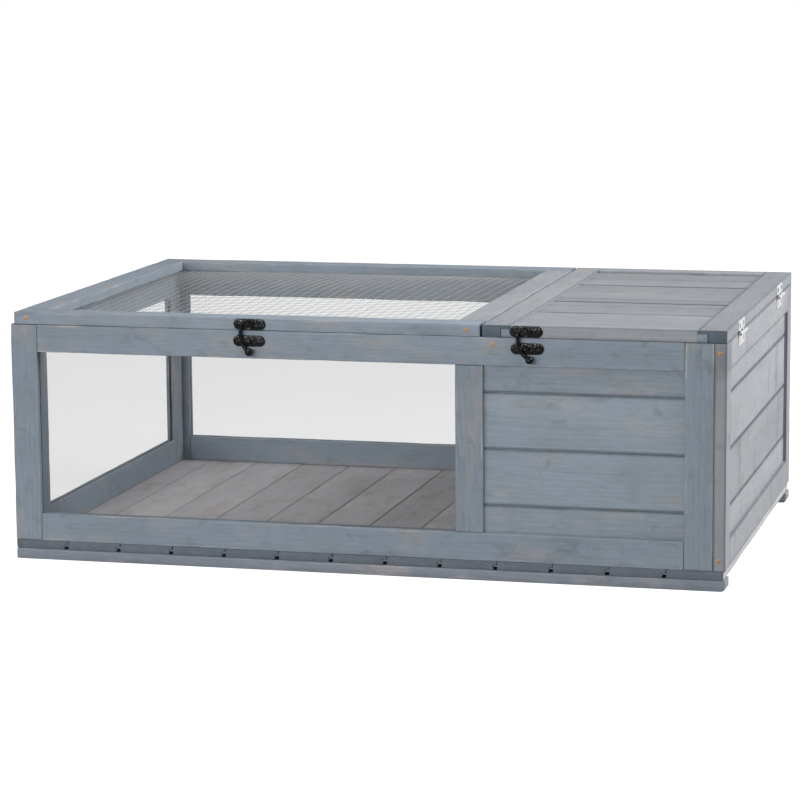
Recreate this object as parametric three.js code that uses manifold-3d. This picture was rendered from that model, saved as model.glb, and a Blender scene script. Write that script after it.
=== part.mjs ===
// A low timber rabbit hutch with a glazed run under a wire mesh lid and a boarded sleeping
// box under a solid lid. Millimetres, +Z up, the front faces -Y, the run is on the left (-X).
// Pieces are laid out from the front left bottom corner of the hutch. The outer group then
// moves that corner so that the origin is on the ground under the middle of the timber.

import * as THREE from 'three';
import { mergeVertices } from 'three/addons/utils/BufferGeometryUtils.js';
import Module from 'manifold-3d';

const wasm = await Module();
wasm.setup();

// ---- Overall sizes ----
const length = 900;
const depth = 590;
const height = 314;

// ---- Timber and sheet stock ----
const railWidth = 34.5; // face width of every frame member
const frameThickness = 15;
const leftFrameThickness = 12; // the glazed left side is a lighter frame
const floorThickness = 10.8;
const boardThickness = 7; // tongue and groove cladding
const boardCover = 69.2; // face width of one board between its two seams
const windowThickness = 2; // clear acrylic

// ---- Joinery ----
const jointGap = 0.2; // between timbers that butt together
const slideGap = 0.3; // round a board, a window or a tenon in its slot
const slotDepth = 6; // how far boards and windows go into the frame
const tenonLength = 12;
const tenonThickness = 4;
const tenonClear = 2; // from the slot in an edge to the tenons and mortises beside it
const tenonRoot = 2; // how far a tenon starts inside its own timber
const boardRecess = 4.3; // outer face of the frame to the face of the boards
const seamWidth = 1.6;
const seamDepth = 1.4;

// ---- Layout ----
const skidHeight = 13.5;
const skidWidth = 30;
const skidChamfer = 4;
const floorInset = 2; // the floor stops short of the right side
const uprightFromLeft = 570.5; // left edge of the middle upright of front and back
const leftPanelInset = 16; // left side panel behind the ends of front and back
const backPanelInset = 4; // left end of the back panel
const frontFirstBoard = 39.8; // width of the ripped bottom board, front and back
const sideFirstBoard = 41.3;
const doorwayWidth = 165;

// ---- Lids ----
const seatGap = 0.3; // between a closed lid and the body
const lidInset = 5; // left edge of the mesh lid from the left end
const lidGap = 2.5; // between the two lids
const lidSetBack = 3; // the mesh lid ends short of the right edge of the middle upright
const lidBoardRecess = 3;
const lidFirstBoard = 52.8; // width of the front board of the solid lid
const meshRebate = 10; // how far the mesh laps under its frame
const meshRebateDepth = 2.6;
const meshThickness = 1.6;
const meshPitch = 50.8;
const meshBar = 1.6;

// ---- Hinges ----
const hingeLength = 50;
const meshHingeInsets = [122, 122]; // ends of the lid to the middles of its hinges
const solidHingeInsets = [113, 127];
const knuckleRadius = 2.95;
const knuckleCount = 5;
const knuckleGap = 0.3;
const leafGap = 0.4; // between a knuckle and the leaf it doesn't belong to
const leafMargin = 0.8; // top edge of the lid leaf to the top of the lid
const leafThickness = 1.2;
const pinRadius = 1.2;
const pinClearance = 0.2;
const hingeDrop = 1; // pin centre below the underside of the lid

// ---- Latches ----
const plateLength = 40.5;
const plateHeight = 13.6;
const plateThickness = 2;
const catchDrop = 20.5; // pivot down to the middle of the catch plate
const catchStudRadius = 2.5;
const catchStudLength = 5;
const armGap = 0.4; // arm to plate and arm to rivet head
const armThickness = 3;
const armWidth = 4.4;
const armHeadRadius = 6.2;
const rivetRadius = 2.3;
const rivetClearance = 0.3;
const rivetHeadRadius = 3.8;
const rivetHeadThickness = 1.2;
const ballRadius = 5;
const ballGap = 1.9; // back of the ball to the face of the timber, so that it swings past the plate
const ballClear = 1.4; // bottom edge of the catch plate to the top of the ball
const meshLatchOffset = 9.5; // pivot to the right of the middle of the mesh lid
const solidLatchInset = 54.1; // left edge of the solid lid to the pivot

// Centre line of the arm from the pivot to the ball, in parts of its whole drop: [across, down].
const armCurve = [
  [-0.02, -0.136], [-0.178, -0.115], [-0.283, 0.031], [-0.32, 0.23],
  [-0.314, 0.48], [-0.225, 0.754], [-0.105, 0.911], [0.01, 1],
];

// ---- Working allowances ----
const overshoot = 1; // how far a cutting block passes the face that it opens
const sink = 0.1; // how far one part of a joined solid starts inside the other
const weldDistance = 1e-4; // corners closer than this are one corner
const roundSides = 20;
const eyeSides = 24;
const endSegments = 10; // in each half circle of a latch plate
const armSteps = 16;
const ballSegments = [16, 10];

// ---- Heights and planes that follow from the sizes above ----
const floorTop = skidHeight + floorThickness;
const lidUnderside = height - frameThickness;
const panelHeight = lidUnderside - seatGap - floorTop - jointGap;
const frontPanelLength = length - frameThickness - jointGap;
const backPanelLength = frontPanelLength - backPanelInset;
const leftPanelLength = depth - 2 * frameThickness - 2 * jointGap;
const meshLidRight = uprightFromLeft + railWidth - lidSetBack;
const solidLidLeft = meshLidRight + lidGap;
const hingeHeight = lidUnderside - hingeDrop;
const lidMiddle = height - frameThickness / 2;
const tenonShoulder = slotDepth + tenonClear;
const leafHeight = frameThickness - leafMargin + hingeDrop - knuckleRadius - leafGap;
const armDrop = catchDrop + plateHeight / 2 + ballClear + ballRadius;
const ballStandOff = ballRadius + ballGap;

const latches = [
  { name: 'mesh_lid_latch', x: (lidInset + meshLidRight) / 2 + meshLatchOffset, catchShift: -0.9, tilt: 0 },
  { name: 'solid_lid_latch', x: solidLidLeft + solidLatchInset, catchShift: 1.4, tilt: 8.5 },
];

// ---- Materials ----
function paint(color, roughness, metalness = 0, opacity = 1) {
  return new THREE.MeshStandardMaterial({ color, roughness, metalness, opacity, transparent: opacity < 1 });
}

const frameTimber = () => paint(0x7c8893, 0.72);
const sideTimber = () => paint(0xa3a7ad, 0.72);
const lidTimber = () => paint(0x9499a1, 0.72);
const boardTimber = () => paint(0x85909a, 0.75);
const floorTimber = () => paint(0x8b8c90, 0.8);
const skidTimber = () => paint(0x7f8690, 0.8);
const acrylic = () => paint(0xe5e8ea, 0.08, 0, 0.3);
const zinc = () => paint(0xd9dcdf, 0.3, 1);
const galvanised = () => paint(0xb9bec2, 0.4, 1);
const blackEnamel = () => paint(0x17181a, 0.3, 0.3);

// ---- Solids ----
// A closed geometry becomes a solid that can be joined to and cut from others.
function solid(geometry) {
  const bare = geometry.clone();
  bare.deleteAttribute('normal');
  bare.deleteAttribute('uv');
  const welded = mergeVertices(bare, weldDistance);
  return new wasm.Manifold(new wasm.Mesh({
    numProp: 3,
    vertProperties: Float32Array.from(welded.attributes.position.array),
    triVerts: Uint32Array.from(welded.index.array),
  }));
}

// A rectangular block between two opposite corners.
function block(low, high) {
  const size = high.map((value, i) => value - low[i]);
  const box = new THREE.BoxGeometry(...size);
  box.translate(...low.map((value, i) => value + size[i] / 2));
  return solid(box);
}

// A cylinder along the given axis, from one coordinate of that axis to another.
function rod(axis, radius, from, to, centre = [0, 0], sides = roundSides) {
  const cylinder = new THREE.CylinderGeometry(radius, radius, to - from, sides);
  cylinder.translate(0, (from + to) / 2, 0);
  if (axis === 'x') cylinder.rotateZ(-Math.PI / 2).translate(0, ...centre);
  if (axis === 'y') cylinder.translate(centre[0], 0, centre[1]);
  return solid(cylinder);
}

function cutAll(piece, tools) {
  return tools.reduce((rest, tool) => rest.subtract(tool), piece);
}

function joinAll(pieces) {
  return pieces.reduce((whole, piece) => whole.add(piece));
}

const ascending = (...values) => values.sort((a, b) => a - b);

// The solid as a named mesh: its geometry is centred on the mesh's own position.
function place(group, name, piece, material, origin = [0, 0, 0]) {
  const { vertProperties, triVerts } = piece.getMesh();
  const geometry = new THREE.BufferGeometry();
  geometry.setAttribute('position', new THREE.BufferAttribute(Float32Array.from(vertProperties), 3));
  geometry.setIndex(new THREE.BufferAttribute(Uint32Array.from(triVerts), 1));
  geometry.computeBoundingBox();
  const centre = geometry.boundingBox.getCenter(new THREE.Vector3());
  geometry.translate(-centre.x, -centre.y, -centre.z);
  geometry.computeVertexNormals();
  const mesh = new THREE.Mesh(geometry, material);
  mesh.name = name;
  mesh.position.copy(centre).sub(new THREE.Vector3(...origin));
  group.add(mesh);
}

// ---- Slots, tenons and mortises ----
// The slot that holds a board panel or a window reaches past every side of its bay.
function slotOf(bay) {
  const [low, high] = bay.layer;
  return block(
    [bay.x[0] - slotDepth, low, bay.z[0] - slotDepth],
    [bay.x[1] + slotDepth, high, bay.z[1] + slotDepth],
  );
}

// The extent of a panel in its slot, with the clearance taken off every side.
function filling(bay) {
  const [low, high] = bay.layer;
  const reach = slotDepth - slideGap;
  return {
    low: [bay.x[0] - reach, low + slideGap, bay.z[0] - reach],
    high: [bay.x[1] + reach, high - slideGap, bay.z[1] + reach],
  };
}

// A stub tenon and its mortise share one block, and the mortise is larger by the clearance.
function tenonBlock({ axis, at, direction, across, middle }, growth) {
  const reach = direction * (tenonLength + growth);
  const half = tenonThickness / 2 + growth;
  const side = [across[0] + tenonShoulder - growth, across[1] - tenonShoulder + growth];
  const along = ascending(at - direction * tenonRoot, at + reach);
  const [x, z] = axis === 'x' ? [along, side] : [side, along];
  return block([x[0], middle - half, z[0]], [x[1], middle + half, z[1]]);
}

// ---- Upright panels ----
// A panel lies in its own x-z plane with its outer face at y = 0. It has a stile at each end,
// rails between them, middle uprights between the rails, and a filling in every bay.
function buildPanel(panel) {
  const group = new THREE.Group();
  const { thickness, width } = panel;
  const middle = thickness / 2;
  const bottomRail = [0, railWidth];
  const topRail = [panelHeight - railWidth, panelHeight];
  const inner = [railWidth, width - railWidth];
  const stiles = [[0, railWidth], [width - railWidth, width]];
  const uprights = panel.uprights.map((x) => [x, x + railWidth]);

  const edges = [stiles[0], ...uprights, stiles[1]];
  const bays = panel.bays.map((bay, i) => ({
    ...bay,
    x: [edges[i][1], edges[i + 1][0]],
    z: [bottomRail[1], topRail[0]],
    layer: fillingLayer(bay.kind, thickness),
  }));
  const slots = bays.map(slotOf);

  const railTenons = [bottomRail, topRail].map((across) => [
    { axis: 'x', at: inner[0], direction: -1, across, middle },
    { axis: 'x', at: inner[1], direction: 1, across, middle },
  ]);
  const uprightTenons = uprights.map((across) => [
    { axis: 'z', at: bottomRail[1], direction: -1, across, middle },
    { axis: 'z', at: topRail[0], direction: 1, across, middle },
  ]);
  const mortise = (tenon) => tenonBlock(tenon, slideGap);
  const tenon = (shape) => tenonBlock(shape, 0);

  stiles.forEach(([from, to], end) => {
    const bar = block([from, 0, 0], [to, thickness, panelHeight]);
    const mortises = railTenons.map((pair) => mortise(pair[end]));
    place(group, panel.stileNames[end], cutAll(bar, [...slots, ...mortises]), panel.material());
  });

  [['bottom_rail', bottomRail], ['top_rail', topRail]].forEach(([name, [from, to]], i) => {
    const bar = block([inner[0] + jointGap, 0, from], [inner[1] - jointGap, thickness, to]);
    const mortises = uprightTenons.map((pair) => mortise(pair[i]));
    const whole = cutAll(joinAll([bar, ...railTenons[i].map(tenon)]), [...slots, ...mortises]);
    place(group, `${panel.name}_${name}`, whole, panel.material());
  });

  uprights.forEach(([from, to], i) => {
    const bar = block([from, 0, bottomRail[1] + jointGap], [to, thickness, topRail[0] - jointGap]);
    const whole = cutAll(joinAll([bar, ...uprightTenons[i].map(tenon)]), slots);
    place(group, panel.uprightNames[i], whole, panel.material());
  });

  bays.forEach((bay) => {
    const isWindow = bay.kind === 'window';
    const piece = isWindow ? windowSheet(bay) : wallBoards(bay, panel.firstBoard);
    const material = isWindow ? acrylic() : panel.boardMaterial();
    place(group, `${panel.name}_${bay.kind}`, piece, material);
  });
  return group;
}

// Boards lie towards the outer face, a window lies in the middle of the frame.
function fillingLayer(kind, thickness) {
  if (kind === 'window') {
    const half = windowThickness / 2 + slideGap;
    return [thickness / 2 - half, thickness / 2 + half];
  }
  return [boardRecess - slideGap, boardRecess + boardThickness + slideGap];
}

function windowSheet(bay) {
  const { low, high } = filling(bay);
  return block(low, high);
}

// Positions of the seams of boards laid side by side from one end.
function seamPlaces(from, to, firstBoard) {
  const places = [];
  for (let at = from + firstBoard; at < to - seamWidth; at += boardCover) places.push(at);
  return places;
}

// Boards joined edge to edge: a panel with open seams at places along one axis, cut into its
// low face (0), its high face (1) or both. Axes are numbered x 0, y 1, z 2.
function boardPanel({ low, high }, seamAxis, places, faceAxis, faces = [0, 1]) {
  const grooves = places.flatMap((at) => faces.map((face) => {
    const from = low.map((value) => value - overshoot);
    const to = high.map((value) => value + overshoot);
    from[seamAxis] = at - seamWidth / 2;
    to[seamAxis] = at + seamWidth / 2;
    if (face === 0) to[faceAxis] = low[faceAxis] + seamDepth;
    else from[faceAxis] = high[faceAxis] - seamDepth;
    return block(from, to);
  }));
  return cutAll(block(low, high), grooves);
}

function wallBoards(bay, firstBoard) {
  const extent = filling(bay);
  return boardPanel(extent, 2, seamPlaces(bay.z[0] - slotDepth, extent.high[2], firstBoard), 1);
}

// ---- Base ----
function skid() {
  const outline = new THREE.Shape([
    new THREE.Vector2(0, skidChamfer),
    new THREE.Vector2(skidChamfer, 0),
    new THREE.Vector2(length - skidChamfer, 0),
    new THREE.Vector2(length, skidChamfer),
    new THREE.Vector2(length, skidHeight - jointGap),
    new THREE.Vector2(0, skidHeight - jointGap),
  ]);
  const bar = new THREE.ExtrudeGeometry(outline, { depth: skidWidth, bevelEnabled: false });
  bar.rotateX(Math.PI / 2).translate(0, skidWidth, 0);
  return solid(bar);
}

// Floor boards run from front to back, with an open seam on the upper face between them.
function floorDeck() {
  const right = length - floorInset;
  const count = Math.round(right / boardCover);
  const places = Array.from({ length: count - 1 }, (_, i) => ((i + 1) * right) / count);
  return boardPanel({ low: [0, 0, skidHeight], high: [right, depth, floorTop] }, 0, places, 2, [1]);
}

function buildBase(group) {
  place(group, 'front_skid', skid(), skidTimber());
  place(group, 'back_skid', skid().translate([0, depth - skidWidth, 0]), skidTimber());
  place(group, 'floor_boards', floorDeck(), floorTimber());
}

// ---- Walls ----
function buildWalls(group) {
  const frontRight = frontPanelLength - uprightFromLeft - railWidth;
  const panels = [
    {
      name: 'front',
      stileNames: ['front_left_stile', 'front_right_stile'],
      uprightNames: ['front_middle_upright'],
      width: frontPanelLength,
      thickness: frameThickness,
      uprights: [uprightFromLeft],
      bays: [{ kind: 'window' }, { kind: 'boards' }],
      firstBoard: frontFirstBoard,
      material: frameTimber,
      boardMaterial: boardTimber,
      corner: [0, 0],
      turn: 0,
    },
    {
      name: 'right',
      stileNames: ['right_front_post', 'right_back_post'],
      uprightNames: [],
      width: depth,
      thickness: frameThickness,
      uprights: [],
      bays: [{ kind: 'boards' }],
      firstBoard: sideFirstBoard,
      material: sideTimber,
      boardMaterial: sideTimber,
      corner: [length, 0],
      turn: Math.PI / 2,
    },
    {
      name: 'back',
      stileNames: ['back_right_stile', 'back_left_stile'],
      uprightNames: ['back_middle_upright'],
      width: backPanelLength,
      thickness: frameThickness,
      uprights: [frontRight],
      bays: [{ kind: 'boards' }, { kind: 'window' }],
      firstBoard: frontFirstBoard,
      material: frameTimber,
      boardMaterial: boardTimber,
      corner: [frontPanelLength, depth],
      turn: Math.PI,
    },
    {
      name: 'left',
      stileNames: ['left_back_post', 'left_front_post'],
      uprightNames: [],
      width: leftPanelLength,
      thickness: leftFrameThickness,
      uprights: [],
      bays: [{ kind: 'window' }],
      firstBoard: sideFirstBoard,
      material: frameTimber,
      boardMaterial: boardTimber,
      corner: [leftPanelInset, depth - frameThickness - jointGap],
      turn: -Math.PI / 2,
    },
  ];
  panels.forEach((panel) => {
    const wall = buildPanel(panel);
    wall.position.set(...panel.corner, floorTop + jointGap);
    wall.rotation.z = panel.turn;
    group.add(wall);
  });
}

// ---- Partition between run and sleeping box ----
// It stands behind the middle uprights. Its doorway is next to the back wall.
function buildPartition(group) {
  const left = uprightFromLeft + (railWidth - frameThickness) / 2;
  const right = left + frameThickness;
  const front = frameThickness + jointGap;
  const back = depth - frameThickness - jointGap;
  const bottom = floorTop + jointGap;
  const top = bottom + panelHeight;
  const railBottom = top - railWidth;
  const doorPost = back - doorwayWidth - railWidth;
  const postTop = railBottom - jointGap;
  const middle = (left + right) / 2;

  const slot = block(
    [middle - boardThickness / 2 - slideGap, front + railWidth - slotDepth, bottom - overshoot],
    [middle + boardThickness / 2 + slideGap, doorPost + slotDepth, railBottom + slotDepth],
  );
  const post = (y) => block([left, y, bottom], [right, y + railWidth, postTop]);
  place(group, 'partition_front_post', post(front).subtract(slot), frameTimber());
  place(group, 'partition_door_post', post(doorPost).subtract(slot), frameTimber());
  place(group, 'partition_top_rail',
    block([left, front, railBottom], [right, back, top]).subtract(slot), frameTimber());

  const reach = slotDepth - slideGap;
  const extent = {
    low: [middle - boardThickness / 2, front + railWidth - reach, bottom],
    high: [middle + boardThickness / 2, doorPost + reach, railBottom + reach],
  };
  const seams = seamPlaces(bottom, extent.high[2], frontFirstBoard + railWidth - slotDepth);
  place(group, 'partition_boards', boardPanel(extent, 2, seams, 0), boardTimber());
}

// ---- Lid frames ----
// Four flat timbers. The pair named by `through` runs past the ends of the other pair.
function buildLidFrame(group, origin, lid) {
  const { x, through, cuts } = lid;
  const z = [lidUnderside, height];
  const y = [0, depth];
  const innerX = [x[0] + railWidth, x[1] - railWidth];
  const innerY = [railWidth, depth - railWidth];
  const middle = (z[0] + z[1]) / 2;
  const runsAcross = through === 'rails';

  const railX = runsAcross ? x : [innerX[0] + jointGap, innerX[1] - jointGap];
  const stileY = runsAcross ? [innerY[0] + jointGap, innerY[1] - jointGap] : y;
  const members = [
    { name: 'front_rail', low: [railX[0], y[0]], high: [railX[1], innerY[0]] },
    { name: 'back_rail', low: [railX[0], innerY[1]], high: [railX[1], y[1]] },
    { name: 'left_stile', low: [x[0], stileY[0]], high: [innerX[0], stileY[1]] },
    { name: 'right_stile', low: [innerX[1], stileY[0]], high: [x[1], stileY[1]] },
  ];
  const frame = { innerX, innerY, x, y, middle, runsAcross };
  const joints = [0, 1].flatMap((i) => [0, 1].map((j) => lidTenon(frame, i, j)));
  members.forEach((member) => {
    const isRail = member.name.endsWith('rail');
    const bar = block([...member.low, z[0]], [...member.high, z[1]]);
    const near = joints.filter((joint) => joint.touches.includes(member.name));
    const shaped = isRail === runsAcross
      ? cutAll(bar, near.map((joint) => joint.build(slideGap)))
      : joinAll([bar, ...near.map((joint) => joint.build(0))]);
    place(group, `${lid.name}_${member.name}`, cutAll(shaped, cuts), lidTimber(), origin);
  });
}

// The stub tenon at one corner of a lid: i picks left or right, j picks front or back.
function lidTenon({ innerX, innerY, x, y, middle, runsAcross }, i, j) {
  const touches = [['left_stile', 'right_stile'][i], ['front_rail', 'back_rail'][j]];
  const build = (growth) => {
    const half = tenonThickness / 2 + growth;
    const shoulder = tenonShoulder - growth;
    const lengthwise = (edge, end) => {
      const direction = end === 0 ? -1 : 1;
      return ascending(edge - direction * tenonRoot, edge + direction * (tenonLength + growth));
    };
    const crosswise = (outer, inner) => {
      const [from, to] = ascending(outer, inner);
      return [from + shoulder, to - shoulder];
    };
    const rangeX = runsAcross ? crosswise(x[i], innerX[i]) : lengthwise(innerX[i], i);
    const rangeY = runsAcross ? lengthwise(innerY[j], j) : crosswise(y[j], innerY[j]);
    return block([rangeX[0], rangeY[0], middle - half], [rangeX[1], rangeY[1], middle + half]);
  };
  return { touches, build };
}

// Every fourth wire of the mesh as a flat grid, which weighs what the whole mesh weighs.
function meshGrid(low, high) {
  const [columns, rows] = [0, 1].map((axis) => {
    const span = high[axis] - low[axis] - meshBar;
    const count = Math.round(span / meshPitch);
    return { start: low[axis], count, pitch: span / count };
  });
  const hole = (line, i) => [line.start + i * line.pitch + meshBar, line.start + (i + 1) * line.pitch];
  const holes = [];
  for (let i = 0; i < columns.count; i += 1) {
    for (let j = 0; j < rows.count; j += 1) {
      const [x, y] = [hole(columns, i), hole(rows, j)];
      holes.push(block([x[0], y[0], low[2] - overshoot], [x[1], y[1], high[2] + overshoot]));
    }
  }
  return cutAll(block(low, high), holes);
}

function buildMeshLid(group, origin) {
  const x = [lidInset, meshLidRight];
  const lap = railWidth - meshRebate;
  const rebateTop = lidUnderside + meshRebateDepth;
  const rebate = block([x[0] + lap, lap, lidUnderside - overshoot], [x[1] - lap, depth - lap, rebateTop]);
  buildLidFrame(group, origin, { name: 'mesh_lid', x, through: 'rails', cuts: [rebate] });
  const top = rebateTop - slideGap;
  const edge = lap + slideGap;
  const mesh = meshGrid([x[0] + edge, edge, top - meshThickness], [x[1] - edge, depth - edge, top]);
  place(group, 'mesh_lid_wire_mesh', mesh, galvanised(), origin);
}

function buildSolidLid(group, origin) {
  const x = [solidLidLeft, length];
  const top = height - lidBoardRecess;
  const panel = (lap, clearance) => ({
    low: [x[0] + railWidth - lap, railWidth - lap, top - boardThickness - clearance],
    high: [x[1] - railWidth + lap, depth - railWidth + lap, top + clearance],
  });
  const slot = panel(slotDepth, slideGap);
  const boards = panel(slotDepth - slideGap, 0);
  const seams = seamPlaces(slot.low[1], boards.high[1], lidFirstBoard);
  const cuts = [block(slot.low, slot.high)];
  buildLidFrame(group, origin, { name: 'solid_lid', x, through: 'stiles', cuts });
  place(group, 'solid_lid_boards', boardPanel(boards, 1, seams, 2), lidTimber(), origin);
}

// ---- Hinges ----
// A butt hinge with its pin along x, screwed to the wood face at y = knuckleRadius.
function hingeLeaf(side) {
  const half = hingeLength / 2;
  const pitch = hingeLength / knuckleCount;
  const plateFace = [knuckleRadius - leafThickness, knuckleRadius];
  const near = knuckleRadius + leafGap;
  const plateSpan = ascending(side * near, side * (near + leafHeight));
  const tabSpan = ascending(0, side * (near + leafThickness));
  const pieces = [block([-half, plateFace[0], plateSpan[0]], [half, plateFace[1], plateSpan[1]])];
  for (let i = side > 0 ? 1 : 0; i < knuckleCount; i += 2) {
    const from = -half + i * pitch + (i > 0 ? knuckleGap / 2 : 0);
    const to = -half + (i + 1) * pitch - (i < knuckleCount - 1 ? knuckleGap / 2 : 0);
    pieces.push(rod('x', knuckleRadius, from, to));
    pieces.push(block([from, plateFace[0], tabSpan[0]], [to, plateFace[1], tabSpan[1]]));
  }
  const bore = rod('x', pinRadius + pinClearance, -half - overshoot, half + overshoot);
  return joinAll(pieces).subtract(bore);
}

function hingePin() {
  return rod('x', pinRadius, -hingeLength / 2, hingeLength / 2);
}

// The body leaf and the pin stay with the body. The lid leaf goes with the lid.
function buildHinge(bodyGroup, lidGroup, lidOrigin, hinge) {
  const { name, position, turn } = hinge;
  const sets = [
    { group: bodyGroup, origin: [0, 0, 0], pieces: [['body_leaf', hingeLeaf(-1)], ['pin', hingePin()]] },
    { group: lidGroup, origin: lidOrigin, pieces: [['lid_leaf', hingeLeaf(1)]] },
  ];
  sets.forEach(({ group, origin, pieces }) => {
    const holder = new THREE.Group();
    holder.position.set(...position.map((value, i) => value - origin[i]));
    holder.rotation.z = turn;
    pieces.forEach(([part, piece]) => place(holder, `${name}_${part}`, piece, zinc()));
    group.add(holder);
  });
}

// ---- Latches ----
// Built round the pivot, which points out of the front. The timber face is at y = 0.
function roundEndedPlate() {
  const radius = plateHeight / 2;
  const reach = plateLength / 2 - radius;
  const outline = new THREE.Shape();
  outline.absarc(reach, 0, radius, -Math.PI / 2, Math.PI / 2);
  outline.absarc(-reach, 0, radius, Math.PI / 2, (3 * Math.PI) / 2);
  const options = { depth: plateThickness, bevelEnabled: false, curveSegments: endSegments };
  return solid(new THREE.ExtrudeGeometry(outline, options).rotateX(Math.PI / 2));
}

function latchKeeperPlate() {
  const armFront = plateThickness + armGap + armThickness;
  const headBack = armFront + armGap;
  const rivet = rod('y', rivetRadius, -headBack - sink, -plateThickness + sink);
  const head = rod('y', rivetHeadRadius, -headBack - rivetHeadThickness, -headBack);
  return joinAll([roundEndedPlate(), rivet, head]);
}

function latchCatchPlate() {
  const stud = rod('y', catchStudRadius, -plateThickness - catchStudLength, -plateThickness + sink);
  return roundEndedPlate().add(stud);
}

// A flat hook: a round eye on the pivot, a bar that bows to the left, and a ball for the finger.
function latchArm() {
  const armBack = plateThickness + armGap;
  const armFront = armBack + armThickness;
  const eye = rod('y', armHeadRadius, -armFront, -armBack, [0, 0], eyeSides);
  const points = armCurve.map(([across, down], i) => {
    const standOff = i === armCurve.length - 1 ? ballStandOff : (armBack + armFront) / 2;
    return new THREE.Vector3(across * armDrop, -standOff, -down * armDrop);
  });
  const route = new THREE.CatmullRomCurve3(points);
  const section = new THREE.Shape([
    new THREE.Vector2(-armThickness / 2, -armWidth / 2),
    new THREE.Vector2(armThickness / 2, -armWidth / 2),
    new THREE.Vector2(armThickness / 2, armWidth / 2),
    new THREE.Vector2(-armThickness / 2, armWidth / 2),
  ]);
  const options = { steps: armSteps, bevelEnabled: false, extrudePath: route };
  const bar = new THREE.ExtrudeGeometry(section, options);
  const ball = new THREE.SphereGeometry(ballRadius, ...ballSegments);
  ball.translate(...points.at(-1).toArray());
  const hole = rod('y', rivetRadius + rivetClearance, -armFront - overshoot, -armBack + overshoot);
  return joinAll([eye, solid(bar), solid(ball)]).subtract(hole);
}

function buildLatch(bodyGroup, lidGroup, lidOrigin, latch) {
  const pivot = [latch.x, 0, lidMiddle];
  const atPivot = new THREE.Group();
  atPivot.position.set(...pivot.map((value, i) => value - lidOrigin[i]));
  place(atPivot, `${latch.name}_pivot_plate`, latchKeeperPlate(), blackEnamel());
  const swing = new THREE.Group();
  swing.rotation.y = -THREE.MathUtils.degToRad(latch.tilt);
  place(swing, `${latch.name}_arm`, latchArm(), blackEnamel());
  atPivot.add(swing);
  lidGroup.add(atPivot);

  const onBody = new THREE.Group();
  onBody.position.set(latch.x + latch.catchShift, 0, lidMiddle - catchDrop);
  place(onBody, `${latch.name}_catch_plate`, latchCatchPlate(), blackEnamel());
  bodyGroup.add(onBody);
}

// ---- The whole hutch ----
function buildHutch() {
  const body = new THREE.Group();
  buildBase(body);
  buildWalls(body);
  buildPartition(body);

  const meshHinge = [0, depth + knuckleRadius, hingeHeight];
  const meshLid = new THREE.Group();
  meshLid.position.set(...meshHinge);
  buildMeshLid(meshLid, meshHinge);

  const solidHinge = [length + knuckleRadius, 0, hingeHeight];
  const solidLid = new THREE.Group();
  solidLid.position.set(...solidHinge);
  buildSolidLid(solidLid, solidHinge);

  const along = (from, to, [start, end]) => [from + start, to - end];
  along(lidInset, meshLidRight, meshHingeInsets).forEach((x, i) => {
    const name = ['mesh_lid_left_hinge', 'mesh_lid_right_hinge'][i];
    const position = [x, depth + knuckleRadius, hingeHeight];
    buildHinge(body, meshLid, meshHinge, { name, position, turn: Math.PI });
  });
  along(0, depth, solidHingeInsets).forEach((y, i) => {
    const name = ['solid_lid_front_hinge', 'solid_lid_back_hinge'][i];
    const position = [length + knuckleRadius, y, hingeHeight];
    buildHinge(body, solidLid, solidHinge, { name, position, turn: Math.PI / 2 });
  });

  buildLatch(body, meshLid, meshHinge, latches[0]);
  buildLatch(body, solidLid, solidHinge, latches[1]);

  const hutch = new THREE.Group();
  hutch.add(body, meshLid, solidLid);
  hutch.position.set(-length / 2, -depth / 2, 0);
  return hutch;
}

export default buildHutch();
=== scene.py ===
"""A low rabbit hutch of grey-blue stained timber: its timbers, boards, wire, fittings and studio.

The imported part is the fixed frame. Every visible timber, board, wire and fitting is built round the
place and size of the part that it stands for. Lengths are metres, +Z is up and the front faces -Y.
"""

import math

import bpy
import numpy as np
from bpy.props import FloatProperty, FloatVectorProperty, IntProperty, PointerProperty
from mathutils import Matrix, Vector


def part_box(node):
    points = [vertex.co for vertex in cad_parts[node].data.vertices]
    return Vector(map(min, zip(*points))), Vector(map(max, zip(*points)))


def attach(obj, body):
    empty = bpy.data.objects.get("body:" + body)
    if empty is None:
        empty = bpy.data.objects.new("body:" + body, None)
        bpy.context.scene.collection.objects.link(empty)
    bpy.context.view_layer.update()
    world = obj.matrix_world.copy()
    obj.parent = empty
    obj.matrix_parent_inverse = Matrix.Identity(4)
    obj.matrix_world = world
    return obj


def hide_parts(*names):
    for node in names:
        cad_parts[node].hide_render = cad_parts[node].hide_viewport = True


bl_info = {
    "name": "Rabbit Hutch",
    "version": (1, 0, 0),
    "blender": (4, 5, 0),
    "location": "3D View > Sidebar > Hutch",
    "description": "Builds the timbers, boards, wire and fittings of a rabbit hutch round its packed frame",
    "category": "Add Mesh",
}

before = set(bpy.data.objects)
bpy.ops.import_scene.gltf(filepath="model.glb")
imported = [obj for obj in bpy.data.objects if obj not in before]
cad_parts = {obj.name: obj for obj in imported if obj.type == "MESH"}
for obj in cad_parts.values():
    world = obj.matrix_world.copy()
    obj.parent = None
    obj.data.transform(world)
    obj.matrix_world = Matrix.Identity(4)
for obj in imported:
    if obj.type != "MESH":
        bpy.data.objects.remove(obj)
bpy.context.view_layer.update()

MM = 0.001

ARC_STEPS = 3  # pieces of the arc at each eased corner
SMOOTH_BELOW = 38  # degrees between two faces under which they shade as one surface
SENSOR = 36.0  # width of the camera's sensor in millimetres
HAIR = 1e-5  # a thickness of nearly nothing, where a shape must keep all its corners

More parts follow.
